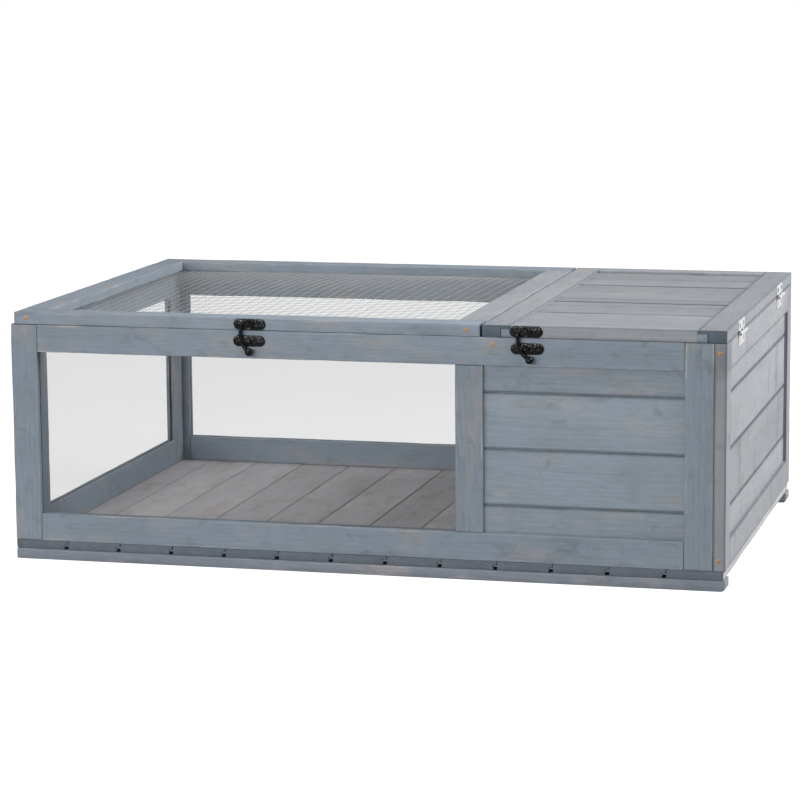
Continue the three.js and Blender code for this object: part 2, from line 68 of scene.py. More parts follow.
BOARD_COVER = 69.2 * MM  # from one seam to the next, on the walls and the solid lid
FLOOR_COVER = 69.1 * MM  # the same on the floor
LID_FRONT_BOARD = 52.5 * MM  # the narrower board at the front of the solid lid
FLOOR_SEAM = (0.35 * MM, 1.0 * MM)  # narrowest and widest seam of the floor
LID_SEAM = 1.1 * MM
TIGHT_SEAM = 0.35 * MM  # the solid lid's seam behind its front board
LAP_IN_RAIL = 2 * MM  # how far a lap at the end of a solid lid's rail reaches into the rail
LAP_ROOM = 0.25 * MM  # room round that lap
BURIED = 0.02 * MM  # how far two surfaces of one piece overlap, so that no gap shows
LEAF_GAP = 0.2 * MM  # from a hinge's knuckles to the edge of its leaf
SWAY_SPACING = 90 * MM  # between two turns of a wire's sway


# ---- Settings -----------------------------------------------------------------------------


def length(name, description, default, low=0.0):
    """A length in metres that a user can change."""
    return FloatProperty(
        name=name, description=description, default=default, min=low, unit="LENGTH", precision=5
    )


def share(name, description, default):
    """A share from 0 to 1."""
    return FloatProperty(
        name=name, description=description, default=default, min=0.0, max=1.0, subtype="FACTOR"
    )


def colour(name, description, default):
    """A surface colour."""
    return FloatVectorProperty(
        name=name, description=description, default=default, size=3, min=0.0, max=1.0, subtype="COLOR"
    )


def angle(name, description, degrees):
    """An angle that a user can change. Its default is given in degrees."""
    default = math.radians(degrees)
    return FloatProperty(name=name, description=description, default=default, unit="ROTATION")


def amount(name, description, default):
    """A strength or a power that a user can change."""
    return FloatProperty(name=name, description=description, default=default, min=0.0)


class HutchTimberSettings(bpy.types.PropertyGroup):
    """Sizes of the timber work."""

    ease: length("Eased edge", "Radius of a sawn edge after sanding", 0.8 * MM)
    wear: length("Edge wear", "Depth of the deepest dents in an edge", 0.55 * MM)
    wear_spacing: length("Wear spacing", "Distance between dents along an edge", 34 * MM)
    tenon: length("Tenon", "Hidden tenon beyond each shoulder of a rail", 12.05 * MM)
    station: length("Station", "Distance between cross sections along a timber", 15 * MM)
    groove_depth: length("Groove depth", "Depth of the groove that holds a window", 6 * MM)
    groove_clearance: length("Groove clearance", "Room on each side of a window in its groove", 0.3 * MM)
    seam: length("Board seam", "Open seam between two boards", 1.3 * MM)
    tongue: length("Tongue thickness", "Thickness of the tongue of a board", 2.2 * MM)
    tongue_reach: length("Tongue reach", "How far the tongue stands out of the board", 5 * MM)
    tongue_clearance: length("Tongue clearance", "Room round a tongue in its groove", 0.3 * MM)
    lid_joint: length("Lid joint", "Width of the open notch at the ends of the solid lid's stiles", 12 * MM)
    lid_cheek: length("Lid cheek", "Timber left above that notch", 3.4 * MM)


class HutchFinishSettings(bpy.types.PropertyGroup):
    """Colours of the finishes."""

    frame_stain: colour("Frame stain", "Stain on the frames", (0.152, 0.184, 0.218))
    side_stain: colour("Side stain", "Stain on the right side", (0.188, 0.198, 0.214))
    lid_stain: colour("Lid stain", "Stain on the lids", (0.182, 0.194, 0.212))
    rail_stain: colour("Lid rail stain", "Stain on the rails of the mesh lid", (0.152, 0.182, 0.214))
    board_stain: colour("Board stain", "Stain on the front and back boards", (0.163, 0.196, 0.229))
    # The floor's own stain, made lighter as painted light that stands in for the light reaching the inside
    # of the run.
    floor_stain_and_light: colour("Floor stain", "Stain on the floor boards", (0.300, 0.290, 0.300))
    skid_stain: colour("Skid stain", "Stain on the skids", (0.134, 0.152, 0.180))
    bare: colour("Thin stain", "Timber where the stain is thin", (0.275, 0.250, 0.232))
    # A darker share of this colour also marks the dark edges, which are painted shade in seams together with
    # pooled stain.
    end_grain_and_seam_shade: colour("End grain", "Soaked end grain", (0.052, 0.071, 0.092))
    knot: colour("Knot", "Stained knots", (0.075, 0.082, 0.088))
    zinc: colour("Zinc", "Bright zinc of the hinges", (0.50, 0.50, 0.505))
    wire: colour("Wire", "Galvanised wire", (0.29, 0.302, 0.315))
    brass: colour("Yellow screws", "Yellow plated screws", (0.33, 0.185, 0.062))
    steel: colour("Dark screws", "Dark steel screws of the hinges", (0.028, 0.024, 0.022))
    black: colour("Black enamel", "Black enamel of the latches", (0.004, 0.004, 0.0045))
    acrylic: colour("Acrylic", "Body colour of the windows", (0.03, 0.032, 0.034))
    haze: share("Acrylic haze", "Share of light that one face of a window stops", 0.114)


class HutchMetalSettings(bpy.types.PropertyGroup):
    """Sizes of the wire, the hinges, the latches and the screws."""

    wire_pitch: length("Wire pitch", "Distance between the wires of the mesh", 12.7 * MM)
    wire: length("Wire", "Diameter of the mesh wire", 0.62 * MM)
    crown: length("Crown", "How far the mesh stands up behind its middle", 8.5 * MM)
    sway: length("Sway", "How far the wires wander sideways", 0.5 * MM)
    staple_pitch: length("Staple pitch", "Distance between staples", 58 * MM)
    staple: length("Staple", "Length of the crown of a staple", 9 * MM)
    rebate: length("Rebate", "Lap of the mesh under its frame", 10 * MM)
    rebate_depth: length("Rebate depth", "Depth of the rebate for the mesh", 2.6 * MM)
    screw: length("Screw head", "Radius of a frame screw head", 2.9 * MM)
    small_screw: length("Small screw head", "Radius of a latch screw head", 2.3 * MM)
    hinge_screw: length("Hinge screw head", "Radius of a hinge screw head", 3.1 * MM)
    leaf: length("Leaf", "Thickness of a hinge leaf", 1.0 * MM)
    knuckle: length("Knuckle", "Radius of a knuckle", 2.05 * MM)
    knuckles: IntProperty(name="Knuckles", description="Knuckles of a hinge", default=5, min=3)
    knuckle_gap: length("Knuckle gap", "Gap between two knuckles", 0.3 * MM)
    plate: length("Plate", "Thickness of a latch plate", 2 * MM)
    arm: length("Arm", "Width of a latch arm", 4.6 * MM)
    arm_gap: length("Arm gap", "Room between a latch arm and its plate", 0.4 * MM)


class HutchStageSettings(bpy.types.PropertyGroup):
    """Camera, light and floor."""

    lens: FloatProperty(name="Lens", description="Focal length", default=135.32, unit="CAMERA")
    eye: FloatVectorProperty(
        name="Eye", description="Place of the camera", default=(0.9633, -3.7735, 0.8043), unit="LENGTH"
    )
    yaw: angle("Yaw", "Turn to the right of +Y", -14.677)
    pitch: angle("Pitch", "Tilt below the horizon", 9.246)
    roll: angle("Roll", "Turn about the line of sight", 0.491)
    sky: amount("Sky", "Strength of the even light", 0.34)
    key: amount("Key", "Power of the large soft light on the right, in watts", 185.0)
    fill: amount("Fill", "Power of the light from the left, in watts", 48.0)
    front: amount("Front", "Power of the light from the front, in watts", 100.0)
    top: amount("Top", "Power of the light over the run, in watts", 1.7)
    floor: length("Floor", "Radius of the floor", 14.0)


# ---- Shells: closed surfaces as arrays ------------------------------------------------------


def shell(points, quads, caps=(), **layers):
    """A closed surface as arrays, turned so that its faces point outwards.

    Its volume is the sum over its triangles of a . (b x c) / 6. A negative sum means that the faces
    point inwards, so each face is then listed in the opposite order.
    """
    quads = np.asarray(quads, int).reshape(-1, 4)
    triangles = [quads[:, [0, 1, 2]], quads[:, [0, 2, 3]]]
    for cap in caps:
        fan = np.stack([np.full(len(cap) - 2, cap[0]), cap[1:-1], cap[2:]], axis=1)
        triangles.append(fan)
    a, b, c = np.moveaxis(points[np.concatenate(triangles)], 1, 0)
    if np.einsum("ij,ij->i", a, np.cross(b, c)).sum() < 0:
        quads = quads[:, ::-1]
        caps = [cap[::-1] for cap in caps]
    return {"points": points, "quads": quads, "caps": list(caps), "layers": layers}


def loft(rings, **layers):
    """Rings of equal length joined one to the next, with the first and last ring closed by a face.

    Point s of ring r is point r * sides + s of the mesh, so a face is (r, s), (r, s + 1),
    (r + 1, s + 1), (r + 1, s).
    """
    count, sides = rings.shape[:2]
    ring, side = np.meshgrid(np.arange(count - 1), np.arange(sides), indexing="ij")
    ahead = (side + 1) % sides
    quads = np.stack(
        [ring * sides + side, ring * sides + ahead, (ring + 1) * sides + ahead, (ring + 1) * sides + side],
        axis=-1,
    )
    caps = [np.arange(sides)[::-1], (count - 1) * sides + np.arange(sides)]
    flat = {name: values.reshape(count * sides, -1) for name, values in layers.items()}
    return shell(rings.reshape(-1, 3), quads, caps, **flat)


def lathe(profile, centre, axis, sides=28):
    """A profile of (radius, height) points turned about an axis: x = r cos t, y = r sin t, z = h."""
    turn = np.linspace(0, 2 * math.pi, sides, endpoint=False)
    radius, height = np.asarray(profile, float).T
    first, second = [i for i in range(3) if i != axis]
    rings = np.zeros((len(radius), sides, 3))
    rings[..., first] = radius[:, None] * np.cos(turn)
    rings[..., second] = radius[:, None] * np.sin(turn)
    rings[..., axis] = height[:, None]
    return loft(rings + np.asarray(centre, float))


def tube(path, radius, side, sides=10, flatten=1.0):
    """A tube along a path. At each point it has a circle of that radius across the path's direction.

    The circle's first direction is path x side, its second is side, and flatten scales the second.
    """
    path = np.asarray(path, float)
    side = np.asarray(side, float)
    radius = np.broadcast_to(radius, len(path))
    along = np.gradient(path, axis=0)
    along /= np.linalg.norm(along, axis=1, keepdims=True)
    across = np.cross(along, side)
    across /= np.linalg.norm(across, axis=1, keepdims=True)
    other = np.cross(along, across)
    turn = np.linspace(0, 2 * math.pi, sides, endpoint=False)
    circle = across[:, None] * np.cos(turn)[:, None] + other[:, None] * (np.sin(turn) * flatten)[:, None]
    return loft(path[:, None] + circle * radius[:, None, None])


def joined(shells):
    """Several shells as one. Each one's faces are counted on from the points before it."""
    starts = np.cumsum([0] + [len(s["points"]) for s in shells])
    layers = {
        name: np.concatenate([s["layers"][name] for s in shells]) for name in shells[0]["layers"]
    }
    return {
        "points": np.concatenate([s["points"] for s in shells]),
        "quads": np.concatenate([s["quads"] + at for s, at in zip(shells, starts)]),
        "caps": [cap + at for s, at in zip(shells, starts) for cap in s["caps"]],
        "layers": layers,
    }


def moved(part, matrix):
    """A shell turned and moved by a matrix: each point p becomes R p + T."""
    turn = np.array(matrix.to_3x3())
    return {**part, "points": part["points"] @ turn.T + np.array(matrix.translation)}


def piece(name, shells, finish, body, nodes=()):
    """The shells as one object that rides on a body and stands for the given nodes.

    A layer with three values for each point becomes a vector attribute, one with one a number.
    """
    whole = joined(shells)
    mesh = bpy.data.meshes.new(name)
    faces = whole["quads"].tolist() + [cap.tolist() for cap in whole["caps"]]
    mesh.from_pydata(whole["points"], [], faces)
    for layer, values in whole["layers"].items():
        kind = "FLOAT_VECTOR" if values.shape[1] == 3 else "FLOAT"
        field = "vector" if values.shape[1] == 3 else "value"
        attribute = mesh.attributes.new(layer, kind, "POINT")
        attribute.data.foreach_set(field, np.ascontiguousarray(values, np.float32).ravel())
    mesh.shade_smooth()
    mesh.set_sharp_from_angle(angle=math.radians(SMOOTH_BELOW))
    mesh.materials.append(finish)
    made = bpy.data.objects.new(name, mesh)
    bpy.context.scene.collection.objects.link(made)
    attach(made, body)
    if nodes:
        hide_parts(*nodes)
    return made


# ---- Timber ---------------------------------------------------------------------------------


def slow_noise(rng, lines, at, spacing):
    """Values from 0 to 1 that change smoothly along `at`, one row for each line.

    Random numbers stand at even knots. Between two knots the value goes from one to the next by
    t * t * (3 - 2 * t).
    """
    first = at.min() - spacing
    knots = int((at.max() - first) / spacing) + 3
    values = rng.random((lines, knots))
    place = (at - first) / spacing
    low = np.floor(place).astype(int)
    t = place - low
    t = t * t * (3 - 2 * t)
    return values[:, low] * (1 - t) + values[:, low + 1] * t


def rounded(corners, ease, shoulder):
    """Outlines with rounded corners, and for each point its corner, its edge share and its pull.

    A corner c with unit directions u back and v ahead gives the points c + u s, then the quadratic
    arc (1 - t)^2 (c + u e) + 2 t (1 - t) c + t^2 (c + v e), then c + v s, where e is the ease and s
    the shoulder, both limited by the sides beside the corner. The pull points into the timber.
    A corner counts as an edge where v x u is over 0.3, so where the outline turns outwards.
    """
    back = np.roll(corners, 1, axis=-2) - corners
    ahead = np.roll(corners, -1, axis=-2) - corners
    back_length = np.linalg.norm(back, axis=-1, keepdims=True) + 1e-9
    ahead_length = np.linalg.norm(ahead, axis=-1, keepdims=True) + 1e-9
    u, v = back / back_length, ahead / ahead_length
    e = np.minimum(ease, 0.3 * np.minimum(back_length, ahead_length))[..., None, :]
    t = np.linspace(0, 1, ARC_STEPS + 1)[:, None]
    middle = corners[..., None, :]
    start, stop = middle + u[..., None, :] * e, middle + v[..., None, :] * e
    arc = (1 - t) ** 2 * start + 2 * t * (1 - t) * middle + t**2 * stop
    before = corners + u * np.minimum(shoulder, 0.45 * back_length)
    after = corners + v * np.minimum(shoulder, 0.45 * ahead_length)
    points = np.concatenate([before[..., None, :], arc, after[..., None, :]], axis=-2)
    turn = v[..., 0] * u[..., 1] - v[..., 1] * u[..., 0]
    convex = (turn > 0.3)[..., None] * np.array([0.0] + [1.0] * (ARC_STEPS + 1) + [0.0])
    pull = (u + v) / (np.linalg.norm(u + v, axis=-1, keepdims=True) + 1e-9)
    pull = np.broadcast_to(pull[..., None, :], points.shape)
    outline = points.shape[:-3] + (-1,)
    corner = np.repeat(np.arange(corners.shape[-2]), ARC_STEPS + 3)
    return points.reshape(*outline, 2), corner, convex.reshape(outline), pull.reshape(*outline, 2)


def stations_along(span, look, breaks):
    """Places of the cross sections along a bar, how far each draws in, and how cut each one is.

    The ends draw in by a quarter circle: e - sqrt(e^2 - (e - s)^2) at a distance s from the end.
    The share of cut grain there is 1.25 - s / e, kept from 0 to 1. A break gets two sections.
    """
    e = look.ease
    near = np.array([0.0, 0.3, 1.0, 3.0]) * e
    count = max(2, int((span - 2 * near[-1]) / look.station))
    middle = np.linspace(near[-1], span - near[-1], count + 1)[1:-1]
    jumps = np.array([b + side for b in breaks for side in (-1e-6, 1e-6)])
    at = np.sort(np.concatenate([near, middle, span - near, jumps]))
    end = np.minimum(at, span - at)
    inset = e - np.sqrt(np.maximum(e**2 - np.maximum(e - end, 0) ** 2, 0))
    return at, inset, np.clip(1.25 - end / e, 0, 1)


def bar(shape, start, stop, axes, rng, look, tone=0.0, grain_axis=None, breaks=(), pooled_stain_and_shade=0.0):
    """A timber: an outline carried along an axis, with eased ends and worn edges.

    axes gives the axis of the outline's first coordinate, of its second, and of the path. shape is
    a list of corners or a function from places along the bar to one such list for each place. An
    edge wears back by the wear times (n - 0.6) / 0.4 where a slow noise n along it is over 0.6.
    With a pooled share over 0 the edges are marked dark by that share instead of pale: painted shade
    in the seams and gaps beside them, together with stain that pooled there.
    """
    at, inset, cut = stations_along(stop - start, look, breaks)
    corners = shape(at) if callable(shape) else np.broadcast_to(shape, (len(at), *np.shape(shape)))
    outline, corner, edge, pull = rounded(corners, look.ease, 4 * look.ease)
    low, high = outline.min(axis=(0, 1)), outline.max(axis=(0, 1))
    centre, half = (low + high) / 2, (high - low) / 2
    ring = centre + (outline - centre) * (1 - inset[:, None] / half)[:, None]
    noise = slow_noise(rng, corners.shape[1], at, look.wear_spacing)
    dent = np.clip(noise - 0.6, 0, 1)[corner].T / 0.4 * look.wear * edge
    ring = ring + pull * dent[..., None]
    points = np.zeros((*ring.shape[:2], 3))
    points[..., axes[0]] = ring[..., 0]
    points[..., axes[1]] = ring[..., 1]
    points[..., axes[2]] = (start + at)[:, None]
    # Negative edge values mark painted shade in the seams and gaps, together with pooled stain.
    edge = -edge * pooled_stain_and_shade if pooled_stain_and_shade else edge
    grain_axis = axes[2] if grain_axis is None else grain_axis
    return loft(points, **timber_layers(points, grain_axis, edge, cut, rng, tone))


def timber_layers(points, grain_axis, edge, cut, rng, tone):
    """What the stain reads: grain coordinates, tone, cut ends and edges.

    The grain coordinates are the place along the grain, then across it. A random shift along the
    grain gives each timber its own figure, and a random shift across puts its pith at one side.
    """
    order = [grain_axis] + [i for i in range(3) if i != grain_axis]
    pith = rng.uniform(20 * MM, 60 * MM, 2) * rng.choice([-1, 1], 2)
    centre = points.mean(axis=(0, 1))[order]
    shift = np.array([rng.uniform(1, 30), pith[0] - centre[1], pith[1] - centre[2]])
    ends = np.broadcast_to(cut[:, None], edge.shape)
    return {
        "grain": points[..., order] + shift,
        "tone": np.full((*edge.shape, 1), tone),
        "cut": ends[..., None],
        "edge": edge[..., None],
    }


def rectangle(low, high, grooves=()):
    """Corners of a rectangle, anticlockwise, with a groove (side, centre, width, depth) in a side."""
    (x0, y0), (x1, y1) = low, high
    sides = {"bottom": [(x0, y0)], "right": [(x1, y0)], "top": [(x1, y1)], "left": [(x0, y1)]}
    for side, centre, width, depth in grooves:
        a, b = centre - width / 2, centre + width / 2
        sides[side] += {
            "bottom": [(a, y0), (a, y0 + depth), (b, y0 + depth), (b, y0)],
            "right": [(x1, a), (x1 - depth, a), (x1 - depth, b), (x1, b)],
            "top": [(b, y1), (b, y1 - depth), (a, y1 - depth), (a, y1)],
            "left": [(x0, b), (x0 + depth, b), (x0 + depth, a), (x0, a)],
        }[side]
    return np.array([corner for side in ("bottom", "right", "top", "left") for corner in sides[side]])


def stepped(outer, inner, step, bottom, foot, top, lift=0.0):
    """Six corners of an L for each place: full width above its foot's height, and a foot below it.

    From the outer side the outline goes along the bottom to the step, up to the foot's height,
    over to the inner side, there higher by the lift, up to the top and back. It goes anticlockwise.
    """
    ones = np.ones_like(foot * step)
    corners = [(outer, bottom), (step, bottom), (step, foot)]
    corners += [(inner, foot + lift), (inner, top), (outer, top)]
    outline = np.stack([np.stack([x * ones, z * ones], axis=1) for x, z in corners], axis=1)
    return outline if inner > outer else outline[:, ::-1]


def box_of(node):
    """Lowest and highest corner of a node as arrays."""
    low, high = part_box(node)
    return np.array(low), np.array(high)


def middle_of(node, axis):
    """Middle of a node along an axis: half the sum of its lowest and its highest place."""
    low, high = box_of(node)
    return (low[axis] + high[axis]) / 2


def plain_bar(node, axis, rng, look, trim=True, grooves=(), tone=0.0, pooled_stain_and_shade=0.0):
    """A straight timber in the place of a node, without the hidden tenons at its ends.

    Its outline is the node's box across the axis, less the grooves.
    """
    low, high = box_of(node)
    across, up = [i for i in range(3) if i != axis]
    hidden = look.tenon if trim else 0.0
    outline = rectangle(low[[across, up]], high[[across, up]], grooves)
    axes = (across, up, axis)
    return bar(outline, low[axis] + hidden, high[axis] - hidden, axes, rng, look, tone, pooled_stain_and_shade=pooled_stain_and_shade)


def board_outline(p0, p1, q0, q1, look, tongue, groove, open_lip=False, gaps=None):
    """Corners of one tongue and groove board between two seams.

    p runs across the board and q through its thickness. Each side stands back from its seam by
    half of that seam's gap. The tongue stands out beyond p1 and the groove is cut in at p0. With an
    open lip the groove has no lower lip.
    """
    half, reach, room = look.tongue / 2, look.tongue_reach, look.tongue_clearance
    near, far = (look.seam, look.seam) if gaps is None else gaps
    gap = near / 2
    middle = (q0 + q1) / 2
    left, right = p0 + (gap if groove else 0), p1 - (far / 2 if tongue else 0)
    corners = [(left, q0), (right, q0)]
    if tongue:
        corners += [
            (right, middle - half),
            (right + reach, middle - half),
            (right + reach, middle + half),
            (right, middle + half),
        ]
    corners += [(right, q1), (left, q1)]
    if groove:
        inside = left + reach - 2 * gap + room
        corners += [(left, middle + half + room), (inside, middle + half + room)]
        if open_lip:
            corners[0] = (inside, q0)
        else:
            corners += [(inside, middle - half - room), (left, middle - half - room)]
    return np.array(corners)


# ---- Materials --------------------------------------------------------------------------------


def add(tree, kind, inputs=(), **settings):
    """A node with its settings, and its inputs set to values or joined to other nodes' outputs."""
    node = tree.nodes.new(kind)
    for name, value in settings.items():
        setattr(node, name, value)
    for key, value in dict(inputs).items():
        if isinstance(value, bpy.types.NodeSocket):
            tree.links.new(value, node.inputs[key])
        else:
            node.inputs[key].default_value = value
    return node


def blank(name):
    """A material with a principled shader, and that shader."""
    material = bpy.data.materials.new(name)
    material.use_nodes = True
    material.node_tree.nodes.clear()
    shader = add(material.node_tree, "ShaderNodeBsdfPrincipled")
    output = add(material.node_tree, "ShaderNodeOutputMaterial")
    material.node_tree.links.new(shader.outputs[0], output.inputs[0])
    return material, material.node_tree, shader


def attribute(tree, name, output):
    """An attribute of the mesh."""
    return add(tree, "ShaderNodeAttribute", attribute_name=name).outputs[output]


def stretched(tree, vector, scale):
    """A vector scaled along each axis."""
    return add(tree, "ShaderNodeVectorMath", {0: vector, 1: scale}, operation="MULTIPLY").outputs[0]


def noise(tree, vector, scale=1.0, detail=2.0, roughness=0.5, distortion=0.0):
    """Smooth noise from 0 to 1."""
    inputs = {
        "Vector": vector,
        "Scale": scale,
        "Detail": detail,
        "Roughness": roughness,
        "Distortion": distortion,
    }
    return add(tree, "ShaderNodeTexNoise", inputs).outputs[0]


def sums(tree, operation, a, b, c=0.0):
    """One step of arithmetic on numbers."""
    return add(tree, "ShaderNodeMath", {0: a, 1: b, 2: c}, operation=operation).outputs[0]


def between(tree, value, low, high, to_low=0.0, to_high=1.0):
    """A value mapped smoothly from one range to another."""
    inputs = {"Value": value, "From Min": low, "From Max": high, "To Min": to_low, "To Max": to_high}
    return add(tree, "ShaderNodeMapRange", inputs, interpolation_type="SMOOTHSTEP").outputs[0]


def blended(tree, factor, a, b, blend="MIX"):
    """Two colours mixed."""
    node = add(tree, "ShaderNodeMix", data_type="RGBA", blend_type=blend)
    for index, value in ((0, factor), (6, a), (7, b)):
        if isinstance(value, bpy.types.NodeSocket):
            tree.links.new(value, node.inputs[index])
        else:
            node.inputs[index].default_value = value
    return node.outputs[2]


def opaque(rgb, strength=1.0):
    """A colour times its strength, with alpha 1."""
    return (*[c * strength for c in rgb], 1.0)


def stained_timber(name, stain, finish, warmth=0.5, figure=1.0, marks=0.03):
    """Softwood under a thin stain: clouds, blots, streaks, rings, saw marks, knots and worn edges.

    Each noise reads the grain coordinates, stretched along the grain. The stain is multiplied by 1
    plus the sum of each noise less a half times its weight. Then come, each as a mix by its own
    share: bare timber in clouds, soaked blots, knots, cut ends, worn edges, and dark edges that are
    painted shade in seams and gaps together with stain that pooled there.
    """
    material, tree, shader = blank(name)
    grain = attribute(tree, "grain", "Vector")
    tone = attribute(tree, "tone", "Fac")
    cut = attribute(tree, "cut", "Fac")
    edge = attribute(tree, "edge", "Fac")

    cloud = noise(tree, stretched(tree, grain, (13, 34, 34)), detail=4.0, distortion=0.6)
    shade = noise(tree, stretched(tree, grain, (4, 22, 22)), detail=2.0)
    mottle = noise(tree, stretched(tree, grain, (55, 110, 110)), detail=4.0, roughness=0.6)
    blot = noise(tree, stretched(tree, grain, (26, 46, 46)), detail=3.0, distortion=1.2)
    streak = noise(tree, stretched(tree, grain, (20, 400, 400)), detail=4.0, roughness=0.6)
    fibre = noise(tree, stretched(tree, grain, (70, 1900, 1900)), detail=2.0)
    saw = noise(tree, stretched(tree, grain, (26, 7, 7)), detail=3.0, roughness=0.45, distortion=0.4)
    warp = noise(tree, stretched(tree, grain, (3.5, 9, 9)), detail=1.0)
    away = add(
        tree,
        "ShaderNodeVectorMath",
        {0: stretched(tree, grain, (0.02, 1, 1)), 1: sums(tree, "MULTIPLY", warp, 0.02)},
        operation="ADD",
    ).outputs[0]
    rings = add(
        tree,
        "ShaderNodeTexWave",
        {"Vector": away, "Scale": 72.0, "Distortion": 1.6, "Detail": 3.0, "Detail Scale": 0.8},
        wave_type="RINGS",
        rings_direction="X",
        wave_profile="SAW",
    ).outputs[1]
    cell = add(
        tree,
        "ShaderNodeTexVoronoi",
        {"Vector": stretched(tree, grain, (5.5, 11, 11)), "Scale": 1.0, "Randomness": 1.0},
    )
    chosen = between(tree, add(tree, "ShaderNodeSeparateColor", {0: cell.outputs[1]}).outputs[0], 0.84, 0.86)
    knot = sums(tree, "MULTIPLY", between(tree, cell.outputs[0], 0.085, 0.045), chosen)
    halo = sums(tree, "MULTIPLY", between(tree, cell.outputs[0], 0.20, 0.06), chosen)

    value = sums(tree, "MULTIPLY_ADD", sums(tree, "SUBTRACT", streak, 0.5), 0.34 * figure, 1.0)
    value = sums(tree, "MULTIPLY_ADD", sums(tree, "SUBTRACT", rings, 0.5), -0.07 * figure, value)
    value = sums(tree, "MULTIPLY_ADD", sums(tree, "SUBTRACT", shade, 0.5), 0.34, value)
    value = sums(tree, "MULTIPLY_ADD", sums(tree, "SUBTRACT", mottle, 0.5), 0.30, value)
    value = sums(tree, "MULTIPLY_ADD", sums(tree, "SUBTRACT", fibre, 0.5), 0.22, value)
    value = sums(tree, "MULTIPLY_ADD", between(tree, saw, 0.54, 0.74), -2.2 * marks, value)
    value = sums(tree, "MULTIPLY_ADD", tone, 0.08, value)
    value = sums(tree, "MULTIPLY_ADD", halo, -0.18, value)

    warm = sums(tree, "MULTIPLY", between(tree, cloud, 0.48, 0.74), warmth)
    tinted = blended(tree, warm, opaque(stain), opaque(finish.bare, 0.86))
    soaked_in = sums(tree, "MULTIPLY", between(tree, blot, 0.56, 0.72), 0.34)
    blotted = blended(tree, soaked_in, tinted, opaque(stain, 0.55))
    toned = blended(tree, 1.0, blotted, value, "MULTIPLY")
    knotted = blended(tree, sums(tree, "MULTIPLY", knot, 0.75), toned, opaque(finish.knot))
    ringed = sums(tree, "MULTIPLY_ADD", rings, 0.35, sums(tree, "MULTIPLY", mottle, 0.65))
    soaked = blended(
        tree,
        between(tree, ringed, 0.25, 0.75),
        opaque(finish.end_grain_and_seam_shade, 0.82),
        opaque(finish.end_grain_and_seam_shade, 1.22),
    )
    ended = blended(tree, sums(tree, "MULTIPLY", cut, 0.9), knotted, soaked)
    rubbed = sums(tree, "MULTIPLY", between(tree, streak, 0.50, 0.66), between(tree, cloud, 0.42, 0.62))
    worn = sums(tree, "MULTIPLY", sums(tree, "MAXIMUM", edge, 0.0), sums(tree, "MULTIPLY", rubbed, 0.8))
    pale = blended(tree, worn, ended, opaque(finish.bare, 1.25))
    # Dark edges: painted shade in the seams and gaps beside them, together with stain that pooled there.
    pooled_stain_and_shade = sums(tree, "MULTIPLY", sums(tree, "MAXIMUM", sums(tree, "MULTIPLY", edge, -1.0), 0.0), 0.80)
    surface = blended(tree, pooled_stain_and_shade, pale, opaque(finish.end_grain_and_seam_shade, 0.75))
    tree.links.new(surface, shader.inputs["Base Color"])

    rough = sums(tree, "MULTIPLY_ADD", streak, 0.22, 0.52)
    rough = sums(tree, "MULTIPLY_ADD", knot, -0.12, rough)
    tree.links.new(rough, shader.inputs["Roughness"])
    shader.inputs["Specular IOR Level"].default_value = 0.30
    relief = sums(tree, "MULTIPLY_ADD", streak, 0.55, sums(tree, "MULTIPLY", fibre, 0.25))
    relief = sums(tree, "MULTIPLY_ADD", rings, -0.15, relief)
    relief = sums(tree, "MULTIPLY_ADD", mottle, 0.25, relief)
    relief = sums(tree, "MULTIPLY_ADD", knot, 0.30, relief)
    bump = add(tree, "ShaderNodeBump", {"Strength": 0.5, "Distance": 0.35 * MM, "Height": relief})
    tree.links.new(bump.outputs[0], shader.inputs["Normal"])
    return material


def metal(name, rgb, rough, speckle, scale, depth, metallic=1.0, specular=0.5, hammered=False):
    """A metal or enamel surface: patchy roughness and tone, with fine pits or a hammered skin.

    The tone is 1 + speckle (patch - 0.5), and the roughness is rough + 0.18 grit.
    """
    material, tree, shader = blank(name)
    place = add(tree, "ShaderNodeTexCoord").outputs["Object"]
    patch = noise(tree, place, scale * 0.25, detail=3.0)
    grit = noise(tree, place, scale * 2.0, detail=2.0)
    if hammered:
        cells = add(
            tree,
            "ShaderNodeTexVoronoi",
            {"Vector": place, "Scale": scale, "Smoothness": 0.6},
            feature="SMOOTH_F1",
        )
        height = sums(tree, "MULTIPLY_ADD", grit, 0.2, cells.outputs[0])
    else:
        height = sums(tree, "MULTIPLY_ADD", grit, 0.5, patch)
    value = sums(tree, "MULTIPLY_ADD", sums(tree, "SUBTRACT", patch, 0.5), speckle, 1.0)
    tree.links.new(blended(tree, 1.0, opaque(rgb), value, "MULTIPLY"), shader.inputs["Base Color"])
    tree.links.new(sums(tree, "MULTIPLY_ADD", grit, 0.18, rough), shader.inputs["Roughness"])
    shader.inputs["Metallic"].default_value = metallic
    shader.inputs["Specular IOR Level"].default_value = specular
    bump = add(tree, "ShaderNodeBump", {"Strength": 0.8, "Distance": depth, "Height": height})
    tree.links.new(bump.outputs[0], shader.inputs["Normal"])
    return material


def clear_sheet(name, rgb, haze):
    """Clear acrylic: almost see-through, its gloss broken up by smears and fine scratches."""
    material, tree, shader = blank(name)
    place = add(tree, "ShaderNodeTexCoord").outputs["Object"]
    smear = noise(tree, stretched(tree, place, (14, 14, 5)), detail=4.0)
    scratch = noise(tree, stretched(tree, place, (900, 900, 30)), detail=1.0)
    shade = sums(tree, "MULTIPLY_ADD", smear, 0.6, 0.7)
    tree.links.new(blended(tree, 1.0, opaque(rgb), shade, "MULTIPLY"), shader.inputs["Base Color"])
    tree.links.new(between(tree, smear, 0.3, 0.8, 0.04, 0.16), shader.inputs["Roughness"])
    shader.inputs["Alpha"].default_value = haze
    bump = add(tree, "ShaderNodeBump", {"Strength": 0.05, "Distance": 0.05 * MM, "Height": scratch})
    tree.links.new(bump.outputs[0], shader.inputs["Normal"])
    return material


